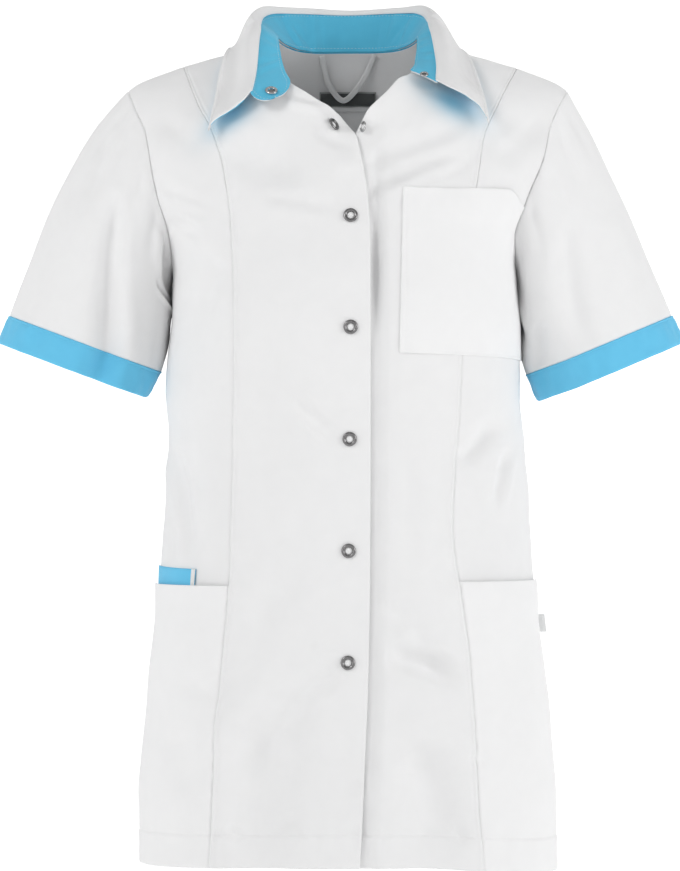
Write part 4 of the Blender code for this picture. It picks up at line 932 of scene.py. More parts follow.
def backPanel():
    levels = levelRows(torso["hemZ"], pocketTop)
    rises, _ = topShares()
    arc = .215
    steps = edgeSteps(arc, .0028, [0], sideFine)
    halves = {}
    for side in ("right", "left"):
        x, z = backHalf(side, levels, rises, steps / arc)
        hemZ = z.copy()
        x, z = hung(side, x, z)
        points, normals = bodyFace(side, "back", x, z)
        fromSide = (arc - steps)[None, :]
        lift = (hemRelief(hemZ, sideSign[side] * x) - .0004 * fall(0, .0012, fromSide) ** 2
                + seamPucker(fromSide, z + .2, .0002))
        halves[side] = points + normals * lift[..., None], normals, hemThickness(hemZ)
    points, normals, thick = (np.concatenate([a[:, ::-1], b[:, 1:]], axis=1)
                              for a, b in zip(halves["right"], halves["left"]))
    piece = shell("backPanel", points, normals, thick, "whiteTwill", ["back"])
    hem = nearest(levels - torso["hemZ"], panel["hemHeight"])
    return piece, sewing("backPanelStitches", [(points[hem], normals[hem])])


panels = {}
for side in ("right", "left"):
    panels[side, "centre"] = frontCentre(side)
    panels[side, "side"] = frontSide(side)
panels["back"] = backPanel()
print("body panels made")


# Sleeves and cuffs

sleeves = {
    "right": {"endX": .2315, "endZ": -.2620, "tilt": 20.5, "halfWidth": .0688, "tuck": .013,
              "startSlope": 44, "underarmSlope": 77, "innerRise": .0004, "innerReach": .0035,
              "folds": [  # turn and width in degrees, where it starts, depth in mm, drift in degrees
                  (114, 12, .22, -10.0, 46), (250, 20, .30, -6.0, 0),
                  (60, 9, .50, -1.2, -6), (84, 14, .20, -2.0, 10), (153, 6, .30, -1.8, 8),
                  (30, 14, .25, -1.0, 6), (200, 13, .40, -2.2, -8), (300, 14, .30, -1.8, 8),
                  (335, 12, .40, -1.2, -6)],
              "creases": {  # as on the body, but in degrees of turn and in 130ths of the length
                  "front fall": (82, 34, 92, 62, 122, 176, 10, -3.2, .5),
                  "underarm hollow": (153, 3, 156, 18, 165, 42, 9, -3.0, -.8),
                  "underarm fold": (140, 50, 160, 49, 190, 36, 3.5, -2.0, -.9),
                  "cap soft": (40, 18, 52, 34, 58, 66, 11, -1.6, .3),
                  "back fall": (236, 20, 240, 60, 246, 120, 10, -2.4, .5)}},
    "left": {"endX": .2204, "endZ": -.2640, "tilt": 22.8, "halfWidth": .0680, "tuck": .010,
             "startSlope": 60, "underarmSlope": 69, "innerRise": .0015, "innerReach": .0010,
             "folds": [
                 (75, 16, .35, -3.5, 0), (128, 16, .55, -5.5, 0), (255, 20, .30, -6.0, 0),
                 (52, 9, .40, -1.0, 5), (100, 8, .45, -1.3, -6), (150, 8, .40, -1.8, -8),
                 (28, 12, .30, -.9, -5), (205, 13, .40, -2.2, 8), (298, 14, .30, -1.6, -8),
                 (332, 12, .45, -1.2, 6)],
             "creases": {
                 "underarm edge": (191, 4, 181, 38, 158, 104, 5.5, -2.6, -.8),
                 "front fall": (96, 40, 100, 70, 104, 150, 11, -1.8, .4),
                 "cuff soft": (134, 88, 140, 108, 150, 134, 7, -1.8, .3),
                 "back fall": (232, 24, 238, 64, 240, 124, 10, -2.2, -.5)}},
    "halfDepth": .056, "cloth": .0010, "columns": 156, "pull": 1.5,
}
capPulls = {  # short pulls below the sleeve's seam: turn, width in degrees, from, to, depth in mm
    "right": [(40, 7, .02, .30, -1.2), (66, 6, .03, .26, -1.0), (100, 8, .05, .40, -1.3),
              (128, 6, .02, .35, -1.4), (150, 6, .02, .40, -1.6), (235, 9, .03, .34, -1.4),
              (290, 8, .03, .30, -1.2), (179, 24, .20, .84, 1.7)],
    "left": [(36, 7, .02, .28, -1.1), (62, 6, .03, .30, -1.1), (95, 8, .04, .34, -1.0),
             (122, 6, .02, .40, -1.3), (146, 6, .02, .36, -1.5), (238, 9, .03, .36, -1.4),
             (286, 8, .03, .30, -1.2)],
}
ringRows = [-.206, -.190, -.170, -.150, -.130,
            *(-.130 + .089 * (1 - (1 - k / 7) ** 2) for k in range(1, 8))]
ringZ = smooth(np.arange(12), ringRows)


def armholeRing(side, turns):
    # round the armhole: from the shoulder tip down the front, and up the back
    shape = sleeves[side]
    front = turns <= math.pi
    place = np.where(front, 11 * (1 - turns / math.pi), 11 * (turns / math.pi - 1))
    z = ringZ(place)
    points, normals = np.zeros((len(turns), 3)), np.zeros((len(turns), 3))
    allowance = []
    for inset in (.009, .006, .003, .0010):
        rim = np.zeros((len(turns), 3))
        for sheet, mask in (("front", front), ("back", ~front)):
            near = outerX(side, z[mask]) - inset
            at, out = bodyFace(side, sheet, near, z[mask])
            rim[mask] = at - out * .0017
        allowance.append(rim)
    for sheet, mask in (("front", front), ("back", ~front)):
        points[mask], normals[mask] = bodyFace(side, sheet, outerX(side, z[mask]), z[mask])
    down = (armhole["tip"] - z) / (armhole["tip"] - armhole["pit"])
    slope = np.radians(shape["startSlope"] + (shape["underarmSlope"] - shape["startSlope"]) * down)
    ways = np.stack([sideSign[side] * np.cos(slope), np.zeros(len(z)), -np.sin(slope)], axis=1)
    return points, normals, ways, allowance


def sleeve(side):
    shape = sleeves[side]
    sign = sideSign[side]
    turns = np.arange(sleeves["columns"]) * 2 * math.pi / sleeves["columns"]
    start, panelOut, ways, allowance = armholeRing(side, turns)
    tilt = math.radians(shape["tilt"])
    across = np.array([sign * math.cos(tilt), 0, math.sin(tilt)])
    axis = np.array([sign * math.sin(tilt), 0, -math.cos(tilt)])
    outward = np.cos(turns)[:, None] * across * shape["halfWidth"]
    outward[:, 1] -= np.sin(turns) * sleeves["halfDepth"]
    behind = np.clip(-np.sin(turns), 0, 1) * ease(.1, .9, -np.cos(turns) + .3)
    outward[:, 0] -= sign * shape["tuck"] * behind
    inner = ease(.5, 1, -np.cos(turns))[:, None]
    end = np.array([sign * shape["endX"], 0, shape["endZ"]]) + outward \
        - axis * shape["innerRise"] * inner - across * shape["innerReach"] * inner
    reach = np.linalg.norm(end - start, axis=1, keepdims=True)
    steps = edgeSteps(1.0, .016, [0, .002, .005, .009, .015, .024], [0, .002, .005, .009, .015])
    grid = []
    for v in steps:
        mix = v * v * (3 - 2 * v)
        grid.append(start * (1 - mix) + end * mix + reach * ways * v * (1 - v) ** 2
                    + reach * axis * v * v * (v - 1))
    grid = np.array(grid)
    facing = grid - grid.mean(axis=1, keepdims=True)
    normals = gridNormals(grid, facing, True)
    degrees, angle = np.degrees(turns)[None, :], np.radians(np.degrees(turns)[None, :])
    v = steps[:, None]
    depth = np.zeros(grid.shape[:2])
    for turn, width, begin, amount, drift in shape["folds"]:
        away = (degrees - turn - drift * (v - 1) + 180) % 360 - 180
        depth += amount / 1000 * ease(begin, 1, v) * bell(away / width)
    for turn, width, begin, finish, amount in capPulls[side]:
        away = (degrees - turn + 180) % 360 - 180
        fade = ease(begin, begin + .08, v) * fall(begin + .10, finish + .10, v)
        depth += sleeves["pull"] * amount / 1000 * fade * bell(away / width)
    laid = np.broadcast_arrays(degrees / 1000, v * .130)
    depth += creaseRelief(shape["creases"], laid[0].copy(), laid[1].copy())
    depth += .0006 * (np.sin(angle * 5 + 7 * v) * np.sin(9 * v + angle * 2)) * ease(.05, .2, v)
    depth += .0003 * np.sin(angle * 26 + 3 * np.sin(angle * 7)) * np.exp(-v / .04)
    depth -= .0010 * fall(0, .012, v) ** 2  # the sleeve dips into its seam
    depth -= .0005 * bell((1 - v) / .006)
    grid = grid + normals * depth[..., None]
    outer = np.concatenate([np.array(allowance), grid], axis=0)
    name = f"sleeve{side.capitalize()}"
    facing = np.concatenate([np.repeat(panelOut[None], len(allowance), axis=0), normals], axis=0)
    piece = shell(name, outer, facing, sleeves["cloth"], "whiteTwill", [f"sleeve_{side}"], True)
    return piece, grid, normals, axis


cuff = {"height": .0255, "flare": .0012, "wall": .0022, "taper": {"right": .0058, "left": .0022}}


def cuffBand(side, grid, normals, axis):
    # a folded band: proud of the sleeve, round at its lower fold, with a stitch line near its top
    steps = np.array([0, .0003, .0008, .0014, .0020, .0026, .0040, .0070, .0100, .0130, .0160, .0190,
                      .0215, .0232, .0243, .0250, .0253, .0255]) / cuff["height"]
    turns = np.arange(grid.shape[1]) * 2 * math.pi / grid.shape[1]
    last, out = grid[-1], normals[-1]
    rows = []
    for s in steps:
        top = fall(0, .04, s)
        foot = ease(.94, 1, s)
        lift = cuff["flare"] * (.5 + s) + .0005 * (1 - top ** 2) - .0008 * foot ** 2
        lift = lift - .0005 * bell((s * cuff["height"] - .0022) / .0006)
        wave = .0005 * np.sin(turns * 9 + 4 * s) * np.sin(math.pi * s)
        wave = wave + .0002 * np.sin(turns * 31 + 1) * (1 - s)
        wave = wave + .0005 * np.sin(turns * 23 - 5 * s) * np.sin(turns * 4 + 1) * np.sin(math.pi * s)
        wave = wave - cuff["taper"][side] * s * bell((np.degrees(turns) - 180) / 28)
        rows.append(last + axis * (.0002 + cuff["height"] * s) + out * (lift + wave)[:, None])
    rows = np.array(rows)
    facing = rows - rows.mean(axis=1, keepdims=True)
    name = f"cuff{side.capitalize()}"
    piece = shell(name, rows, facing, cuff["wall"], "cuffTwill", [f"cuff_{side}"], True)
    stitched, stitchedOut = (np.concatenate([row, row[:1]]) for row in (rows[4], out))
    return piece, sewing(name + "Stitches", [(stitched, stitchedOut)], "blueThread")


for side in ("right", "left"):
    panels[side, "sleeve"], grid, normals, axis = sleeve(side)
    panels[side, "cuff"] = cuffBand(side, grid, normals, axis)
print("sleeves and cuffs made")


# Collar: its stations run from the right front end round the back to the left front end

collar = {
    "walk": [-2.00, -1.60, -1.15, -.72, 0, .72, 1.15, 1.60, 2.00],
    "fold": [(-.0845, -.0790, -.0465), (-.0812, -.0560, -.0290), (-.0785, -.0100, .0090),
             (-.0690, .0480, .0300), (0, .0760, .0330), (.0610, .0500, .0310),
             (.0730, -.0080, .0130), (.0780, -.0500, -.0170), (.0775, -.0740, -.0375)],
    "edge": [(-.1193, -.0890, -.0824), (-.1160, -.0690, -.0560), (-.1065, -.0140, -.0070),
             (-.0900, .0740, -.0110), (0, .1010, -.0190), (.0900, .0740, -.0110),
             (.1035, -.0140, -.0080), (.1175, -.0670, -.0480), (.1226, -.0830, -.0732)],
    "standEnd": {"right": -.0365, "left": -.0325},
    "perSpan": 22,
    "rollRise": .020,
    "standoff": .013,
    "startRise": .003,
    "pull": .78,
    "tab": .0200,
    "tabLean": (.13, 0, 0),
    "frontShift": {  # how far the leaf's front edges spread outwards and up, from fold to point, in mm
        "share": [0, .2, .4, .6, .8, .9, 1],
        "right": [(0, 0), (-1.2, -2.6), (.8, -3.0), (3.5, -1.4), (5.0, 1.4), (4.3, 2.2), (1.1, 1.4)],
        "left": [(0, 0), (.9, .3), (4.0, 1.6), (7.1, 3.2), (6.1, 5.8), (3.6, 4.3), (-.9, .8)]},
    "tabColumns": 12,
    "seamInset": .0027,
}


def neckSeamPoint(walk):
    side = "right" if walk < 0 else "left"
    ahead = abs(walk) - 1
    lifted = np.array([0, 0, .0009])
    if ahead <= 0:
        x = abs(walk) * shoulder["neckHalf"]
        return bodyFace(side, "back", x, backNeckHeight(x))[0] + lifted
    points = neckline[side]
    z = points[-1][1] + (collar["standEnd"][side] - points[-1][1]) * ahead
    x = sideSign[side] * float(smooth([p[1] for p in points], [p[0] for p in points])(z))
    point, normal = bodyFace(side, "front", x, z)
    return point + normal * lapelTurn(side, np.array(x), np.array(z)) + lifted


def sheetNormals(grid):
    return unit(np.cross(np.gradient(grid, axis=1), np.gradient(grid, axis=0)))


def collarCurves():
    count = collar["perSpan"]
    walks = spline([(w,) for w in collar["walk"]], count)[:, 0]
    seam = np.array([neckSeamPoint(w) for w in walks])
    fold, edge = spline(collar["fold"], count), spline(collar["edge"], count)
    inward = sheetNormals(np.array([seam, fold]))[0]
    return seam + inward * collar["seamInset"], fold, edge, walks


def standRows(withTab):
    seam, fold, _, walks = collarCurves()
    lift = unit(fold - seam)
    columns = list(zip(seam, fold - lift * .0003))
    if withTab:
        way = unit(unit(seam[0] + fold[0] - seam[6] - fold[6]) + collar["tabLean"])
        middle, half = (columns[0][0] + columns[0][1]) / 2, (columns[0][1] - columns[0][0]) / 2
        for k in range(1, collar["tabColumns"] + 1):
            turn = math.pi / 2 * k / (collar["tabColumns"] + .25)
            centre = middle + way * collar["tab"] * math.sin(turn)
            columns.insert(0, (centre - half * math.cos(turn), centre + half * math.cos(turn)))
    low, high = (np.array([c[k] for c in columns]) for k in (0, 1))
    shares = np.array([0, .02, .05, .09, .16, .26, .38, .50, .62, .74, .84, .91, .95, .98, 1])
    walks = np.concatenate([np.full(len(columns) - len(walks), walks[0]), walks])
    return low + (high - low) * shares[:, None, None], shares, walks


standRucks = [  # walk, width in walk, lean, depth in mm: the stand's creases, mostly at its corners
    (-.66, .030, .10, -1.6), (-.56, .040, -.12, -1.2), (-.44, .035, .16, -1.0), (-.30, .030, .10, -.8),
    (.36, .040, -.14, -1.1), (.47, .035, -.10, -1.3), (.60, .030, .12, -1.0), (.68, .030, -.08, -1.5),
    (-1.20, .050, .10, -.7), (-1.45, .045, -.14, -.6), (1.18, .045, .12, -.8), (1.50, .040, -.10, -.6),
    (-.10, .060, .10, -.5), (.12, .050, -.12, -.4),
]


def stand():
    rows, shares, walks = standRows(True)
    normals = sheetNormals(rows)
    count = rows.shape[1]
    run = np.arange(count) / count
    belly = np.sin(math.pi * shares)[:, None] * (.0010 + .0006 * np.sin(run * 23))[None, :]
    ruck = .0005 * np.sin(run * 88 + 3 * np.sin(run * 30))[None, :] * np.sin(math.pi * shares)[:, None]
    for walk, width, lean, depth in standRucks:
        away = (walks[None, :] - walk - lean * (shares[:, None] - .5)) / width
        ruck = ruck + 1.4 * depth / 1000 * (bell(away) - .4 * bell(away - 1.8)) \
            * np.sin(math.pi * shares)[:, None] ** .7
    rolled = -.0003 * fall(0, .06, shares)[:, None]
    drawn = -.00030 * (bell((shares - .09) / .025) + bell((shares - .91) / .025))[:, None]
    inner = rows + normals * (belly * .5 + ruck + rolled + drawn)[..., None]
    inside = shell("standInner", inner, normals, .0010, "blueTwill", ["stand_inner"])
    near = (inner - normals * .0013)[1:-1, 2:]
    outside = shell("standOuter", near, normals[1:-1, 2:], .0010, "whiteTwill", ["stand_outer"])
    lines = [(inner[3, 1:], normals[3, 1:]), (inner[11, 1:], normals[11, 1:])]
    ends = (inner[3:12, 1], normals[3:12, 1])
    return inside, outside, sewing("standStitches", lines + [ends])


def leafRows():
    seam, fold, edge, walks = collarCurves()
    up = unit(fold - seam)
    standOut = sheetNormals(np.array([seam, fold]))[1]
    first = fold - up * .0021 + standOut * .0011
    over = first + up * collar["rollRise"]
    away = fold - standOut * collar["standoff"] + up * collar["startRise"]
    before = edge + (away - edge) * collar["pull"]
    shares = np.concatenate([np.linspace(0, .86, 27),
                             [.89, .915, .935, .95, .962, .972, .98, .987, .994, 1]])
    grid = [first * (1 - v) ** 3 + over * 3 * v * (1 - v) ** 2 + before * 3 * v * v * (1 - v)
            + edge * v ** 3 for v in shares]
    return np.array(grid), shares, walks[None, :]


def leaf():
    hemShare = .935  # where the leaf's edge is stitched
    grid, shares, walks = leafRows()
    normals = sheetNormals(grid)
    count = grid.shape[1]
    run = np.linspace(0, 1, count)[None, :]
    v = shares[:, None]
    endways = np.minimum(run, 1 - run)
    rim = .00045 * ease(.90, .97, v) - .00040 * bell((v - hemShare) / .012) - .0006 * ease(.985, 1, v)
    sides = -.0005 * fall(0, .004, endways) ** 2
    soft = .0009 * np.sin(run * 19 + 2 * v) * np.sin(math.pi * v) + .0004 * np.sin(run * 47 - 5 * v) * v
    curl = .0016 * bell((run - .02) / .05) * ease(.5, 1, v) \
        - .0010 * bell((run - .98) / .05) * ease(.5, 1, v)
    points = grid + normals * (rim + sides + soft + curl)[..., None]
    spread = collar["frontShift"]
    for side, sign in sideSign.items():
        near = fall(0, .55, 2 - sign * walks)
        outwards, upwards = (smooth(spread["share"], [p[k] / 1000 for p in spread[side]])(v)
                             for k in (0, 1))
        points = points + np.stack([sign * outwards * near, 0 * near * v, upwards * near], axis=-1)
    peak = .0030 * bell((np.abs(walks) - .74) / .16) - .0018 * bell(walks / .34)
    points[..., 2] += peak * bell((v - .22) / .22)
    thick = np.broadcast_to(.0011 + .0008 * ease(.95, 1, v), points.shape[:2])
    piece = shell("collarLeaf", points, normals, thick, "whiteTwill", ["collar_leaf"])
    begin = 8
    facing = normals[begin:-1, 1:-1]
    under = points[begin:-1, 1:-1] - facing * .0019
    under[:, 0] += (under[:, 1] - under[:, 0]) * .6
    under[:, -1] += (under[:, -2] - under[:, -1]) * .6
    turned = shell("underCollar", under, -facing, -.0010, "blueTwill", ["under_collar"])
    at = nearest(shares, hemShare)
    lines = [(points[at, 3:-3], normals[at, 3:-3]), (points[6:at, 3], normals[6:at, 3]),
             (points[6:at, -4], normals[6:at, -4])]
    return piece, turned, sewing("collarStitches", lines)


panels["stand"] = stand()
panels["leaf"] = leaf()
print("collar made")


# Pockets, each laid on its panel

pockets = {
    "mouth": {"right": -.4716, "left": -.4680}, "fullness": .0022, "cloth": .0007, "hem": .024,
    "gap": .0004,
    "phone": {"top": -.4556, "foot": -.560, "slope": .0028, "from": 2 / 7},
    "chest": {"topX": .0470, "footX": .0437, "foot": -.272, "top": -.130, "drop": .014, "reach": .985},
}


def lowerPocket(side):
    foot, mouth = torso["hemZ"], pockets["mouth"][side]
    levels = levelRows(foot, mouth - .030)
    top = mouth - np.array([.0270, .0255, .0245, .0238, .0230, .0220, .0200, .0160, .0120, .0080, .0050,
                            .0030, .0018, .0010, .0004, 0])
    levels = np.concatenate([levels, top])
    steps = edgeSteps(sideArc, panel["columnSpacing"],
                      [.0003, .0008, .0013, .0020, .0028, .0040, .0060], sideFine)
    under = np.array([.0050, .0034, .0018, .0006])
    x, z = sideGrid(side, levels, np.array([]), steps / sideArc, under)
    hemZ = z.copy()
    x, z = hung(side, x, z)
    points, normals = bodyFace(side, "front", x, z)
    fromSeam = np.concatenate([-under, steps])[None, :]
    height = (hemZ - foot) / (mouth - foot)
    share = np.clip(fromSeam / sideArc, 0, 1)
    lift = pockets["gap"] + pockets["cloth"] + panel["raise"] * .7 \
        + pockets["fullness"] * np.sin(height * math.pi * .6) * np.sin(share * math.pi)
    if side == "right":
        phone = pockets["phone"]
        lift = lift + .0016 * ease(0, phone["from"], share) * ease(0, .3, height)
    below = mouth - hemZ
    lift = lift + .0002 * fall(pockets["hem"] - .003, pockets["hem"] + .003, below) \
        - .0004 * fall(0, .0010, below) ** 2
    lift = lift + seamPucker(fromSeam, z + .1, .0003) \
        + .0010 * np.sin(share * 7 + 1) * bell(below / .02)
    lift = lift * ease(-.0006, .0018, fromSeam) + hemRelief(hemZ, x)
    outer = points + normals * lift[..., None]
    name = f"pocket{side.capitalize()}"
    piece = shell(name, outer, normals, pockets["cloth"], "pocketTwill", [f"pocket_{side}"])
    hem = nearest(levels - foot, panel["hemHeight"])
    first = len(under)
    return piece, sewing(name + "Stitches", [(outer[hem, first:], normals[hem, first:])])


def phonePocket():
    phone = pockets["phone"]
    levels = np.concatenate([np.linspace(phone["foot"], phone["top"] - .004, 30),
                             phone["top"] - np.array([.0030, .0022, .0015, .0009, .0004, 0])])
    fractions = np.concatenate([phone["from"] + np.array([0, .003, .008, .015, .024]),
                                np.linspace(phone["from"] + .034, .985, 26)])
    x, z = sideGrid("right", levels, np.array([]), fractions)
    z = z - phone["slope"] * (1 - fractions)[None, :]
    x, z = hung("right", x, z)
    points, normals = bodyFace("right", "front", x, z)
    share = np.linspace(0, 1, len(fractions))[None, :]
    down = phone["top"] - levels[:, None]
    lift = .0006 + .0004 * np.sin(share * 9) * bell(down / .02) - .0005 * fall(0, .001, down) ** 2
    outer = points + normals * (lift + .0009)[..., None]
    piece = shell("phonePocket", outer, normals, .0009, "cuffTwill", ["phone_pocket"])
    edge = fractions * sideArc - phone["from"] * sideArc  # how far in from the bound edge
    band = np.where(edge < .0034)[0]
    strip = outer[:, band] + normals[:, band] * .0007
    binding = shell("phonePocketBinding", strip, normals[:, band], .0006, "whiteTape")
    row = len(levels) - 4
    return piece, binding, sewing("phonePocketStitches", [(outer[row], normals[row])], "blueThread")


def chestPocket():
    chest = pockets["chest"]
    tall = .142
    heights = np.concatenate([
        [0, .0004, .0010, .0016, .0022, .0030, .0045], np.linspace(.008, .112, 38),
        [.1145, .1160, .1170, .1178, .1190, .1215, .1260, .1310, .1350, .1380, .1395, .1404, .1411,
         .1416, .1420]]) / tall
    width = .118
    steps = edgeSteps(width, panel["columnSpacing"], fineEdge, [0, .0006, .0014, .0025, .0045])
    shares = steps / width
    x = np.empty((len(heights), len(shares)))
    z = np.empty_like(x)
    for i, h in enumerate(heights):
        top = chest["top"] - chest["drop"] * ease(.72, 1, shares) ** 1.2
        z[i] = chest["foot"] + (top - chest["foot"]) * h - .006 * (1 - h) * shares
        inner = chest["footX"] + (chest["topX"] - chest["footX"]) * h
        start = angleOf("left", np.array(inner), np.array(z[i, 0]))
        stop = angleOf("left", outerX("left", z[i]), z[i]) * chest["reach"]
        x[i] = halfWidth("left", z[i]) * np.sin(start + (stop - start) * shares) ** (2 / torso["oval"])
    points, normals = bodyFace("left", "front", x, z)
    run, across = shares[None, :], steps[None, :]
    h = heights[:, None]
    below, above = (1 - h) * tall, h * tall
    lift = .0006 + .0012 * np.sin(run * math.pi) * np.sin(h * math.pi * .8)
    lift = lift + .0002 * fall(.021, .027, below)
    for distance in (below, above, across):
        lift = lift - .0005 * fall(0, .0010, distance) ** 2
    lift = lift - .0003 * bell((across - .0028) / .0008) - .0003 * bell((above - .0026) / .0008)
    lift = lift + seamPucker(across, z, .00025) + seamPucker(above, x, .00025)
    outer = points + normals * (lift + .0010)[..., None]
    piece = shell("chestPocket", outer, normals, .0010, "pocketTwill", ["chest_pocket"])
    side, foot = nearest(steps, panel["seamStitch"]), 4
    lines = [(outer[foot:, side], normals[foot:, side]), (outer[foot, side:], normals[foot, side:])]
    return piece, sewing("chestPocketStitches", lines)


panels["right", "pocket"] = lowerPocket("right")
panels["left", "pocket"] = lowerPocket("left")
panels["phone"] = phonePocket()
panels["chest"] = chestPocket()
print("pockets made")


# Snaps

snapProfile = [  # radius and height shares from the hole's foot over the ring to its outer foot
    (.53, -.10), (.53, .45), (.55, .68), (.60, .80), (.64, .78), (.67, .90), (.73, 1.0), (.80, 1.0),
    (.88, .92), (.95, .74), (1.0, .48), (1.0, .20), (.97, .0), (.90, -.10)]


def directionsRound(normal, count):
    across = unit(np.cross(normal, (0, 0, 1)))
    up = np.cross(across, normal)
    turns = [2 * math.pi * k / count for k in range(count)]
    return [across * math.cos(turn) + up * math.sin(turn) for turn in turns]


def turnedRing(name, centre, normal, size, profile, nodes, finish="darkNickel"):
    normal = unit(np.asarray(normal))
    count, sides = len(profile), snap["sides"]
    points, faces = [], []
    for k, way in enumerate(directionsRound(normal, sides)):
        points += [centre + way * r * snap["radius"] * size + normal * h * snap["height"] * size
                   for r, h in profile]
        a, b = k * count, (k + 1) % sides * count
        faces += [(a + i, a + (i + 1) % count, b + (i + 1) % count, b + i) for i in range(count)]
    fixNormals(newPiece(name, points, faces, finish, nodes))


def domed(name, centre, normal, radius, rise, finish):
    # cloth or metal that shows in a ring's middle
    normal = unit(np.asarray(normal))
    sides, rings = 24, 6
    ways = directionsRound(normal, sides)
    points, faces = [centre + normal * rise], []
    for r in (i / rings for i in range(1, rings + 1)):
        points += [centre + way * radius * r + normal * rise * (1 - r * r) for way in ways]
    points.append(centre - normal * .0004)
    for k in range(sides):
        n = (k + 1) % sides
        faces.append((0, 1 + k, 1 + n))
        for i in range(rings - 1):
            a, b = 1 + i * sides, 1 + (i + 1) * sides
            faces.append((a + k, b + k, b + n, a + n))
        last = 1 + (rings - 1) * sides
        faces.append((last + k, len(points) - 1, last + n))
    fixNormals(newPiece(name, points, faces, finish))


def snapOnBody(name, node, side, x, z, turn=0.0, sunk=0.0, size=1.0, finish="darkNickel"):
    outX = sideSign[side] * x

    def surface(atX, atZ):
        point, normal = bodyFace(side, "front", atX, atZ)
        return point + normal * (lapelTurn(side, np.array(atX), np.array(atZ))
                                 + neckRoll(side, np.array(atX), np.array(atZ)))

    centre = surface(outX, z)
    normal = unit(np.cross(surface(outX + .003, z) - surface(outX - .003, z),
                           surface(outX, z + .003) - surface(outX, z - .003)))
    normal = normal * (-1 if normal[1] > 0 else 1)
    cos, sin = math.cos(math.radians(turn)), math.sin(math.radians(turn))
    normal = np.array([normal[0] * cos - normal[1] * sin, normal[0] * sin + normal[1] * cos, normal[2]])
    centre = centre + normal * snap["seat"] + np.array([0, -sunk, 0])
    turnedRing(name, centre, normal, size, snapProfile, [node], finish)
    domed(name + "Middle", centre, normal, snap["hole"] * size, .0008, "whiteTwill")


for k, x in enumerate(snap["x"]):
    snapOnBody(f"snapRing{k + 1}", f"snap_{k + 1}", "right", x, snap["top"] - k * snap["spacing"])
snapOnBody("snapOpenRing", "snap_open_ring", "right", *snap["openRing"], 20, .0014, .96)
snapOnBody("snapOpenStud", "snap_open_stud", "left", *snap["openStud"], -62, -.0016, .80,
           "brightNickel")
plainRows, _, _ = standRows(False)
plainNormals = sheetNormals(plainRows)
tabWay = unit(plainRows[0, 0] + plainRows[-1, 0] - plainRows[0, 6] - plainRows[-1, 6])
middleRow = len(plainRows) // 2
for name, node, k, shift, size in (("collarSocket", "collar_socket", 0, .0108, .88),
                                   ("collarStud", "collar_stud", -1, 0.0, .60)):
    outward = plainNormals[middleRow, k]
    centre = (plainRows[0, k] + plainRows[-1, k]) / 2 + tabWay * shift + outward * .0009
    turnedRing(name, centre, outward, size, snapProfile, [node], "brightNickel")
    domed(name + "Middle", centre, outward, snap["hole"] * size, .0005, "darkNickel")
print("snaps made")


# Labels and the hanging loop

label = {"width": .050, "height": .0130, "top": -.0366, "standoff": .0016, "thickness": .0007,
         "strip": .0042}
loop = {"path": [(-.0240, -.0050), (-.0215, -.0160), (-.0165, -.0300), (-.0045, -.0430),
                 (.0080, -.0330), (.0180, -.0180), (.0240, -.0050)],
        "width": .0048, "standoff": .0036, "sewn": .0009, "thickness": .0008}
sideTab = {"top": -.4990, "height": .0150, "reach": .0050, "thickness": .0010}


def insideBack(x, z, standoff):
    side = "left" if x >= 0 else "right"
    point, normal = bodyFace(side, "back", abs(x), z)
    return point - normal * (panel["cloth"] + standoff), -normal


def insideGrid(xs, zs, standoffAt):
    grid, facing = (np.empty((len(zs), len(xs), 3)) for _ in range(2))
    for i, z in enumerate(zs):
        for j, x in enumerate(xs):
            grid[i, j], facing[i, j] = insideBack(x, z, standoffAt(i, j))
    return grid, facing


def neckLabel():
    pieces = []
    foot = label["top"] - label["height"]
    border = .0011
    parts = [("neckLabelBorder", 0, .0, "labelBorder", []),
             ("neckLabel", border, .00035, "labelWeave", ["neck_label"])]
    for name, inset, lift, finish, nodes in parts:
        xs = np.linspace(-label["width"] / 2 + inset, label["width"] / 2 - inset, 40)
        zs = np.linspace(foot + inset, label["top"] - inset, 14)

        def bowed(i, j):
            bow = .0006 * math.sin(math.pi * (i + 1) / 15) + .0003 * math.sin(j * .4)
            return label["standoff"] + bow + lift

        pieces.append(shell(name, *insideGrid(xs, zs, bowed), label["thickness"], finish, nodes))
    strip = insideGrid(np.linspace(-.021, .021, 30),
                       np.linspace(foot - label["strip"], foot + .0006, 6),
                       lambda i, j: label["standoff"] * .7)
    pieces.append(shell("neckLabelStrip", *strip, .0004, "whiteTape"))
    return pieces


def hangingLoop():
    path = spline(loop["path"], 10)
    run = unit(np.gradient(path, axis=0))
    aside = np.stack([-run[:, 1], run[:, 0]], axis=1)
    grid, facing = np.empty((7, len(path), 3)), np.empty((7, len(path), 3))
    seamZ, freeZ = loop["path"][0][1], loop["path"][2][1]
    for i, shift in enumerate(np.linspace(-.5, .5, 7)):
        for j in range(len(path)):
            x, z = path[j] + aside[j] * shift * loop["width"]
            free = float(ease(seamZ, freeZ, z)) if z < seamZ else 0.0
            crown = .0003 * (1 - (2 * shift) ** 2)
            standoff = loop["sewn"] + (loop["standoff"] - loop["sewn"]) * free + crown
            grid[i, j], facing[i, j] = insideBack(x, z, standoff + .0008)
    return shell("hangingLoop", grid, facing, loop["thickness"], "whiteTape", ["hanging_loop"])


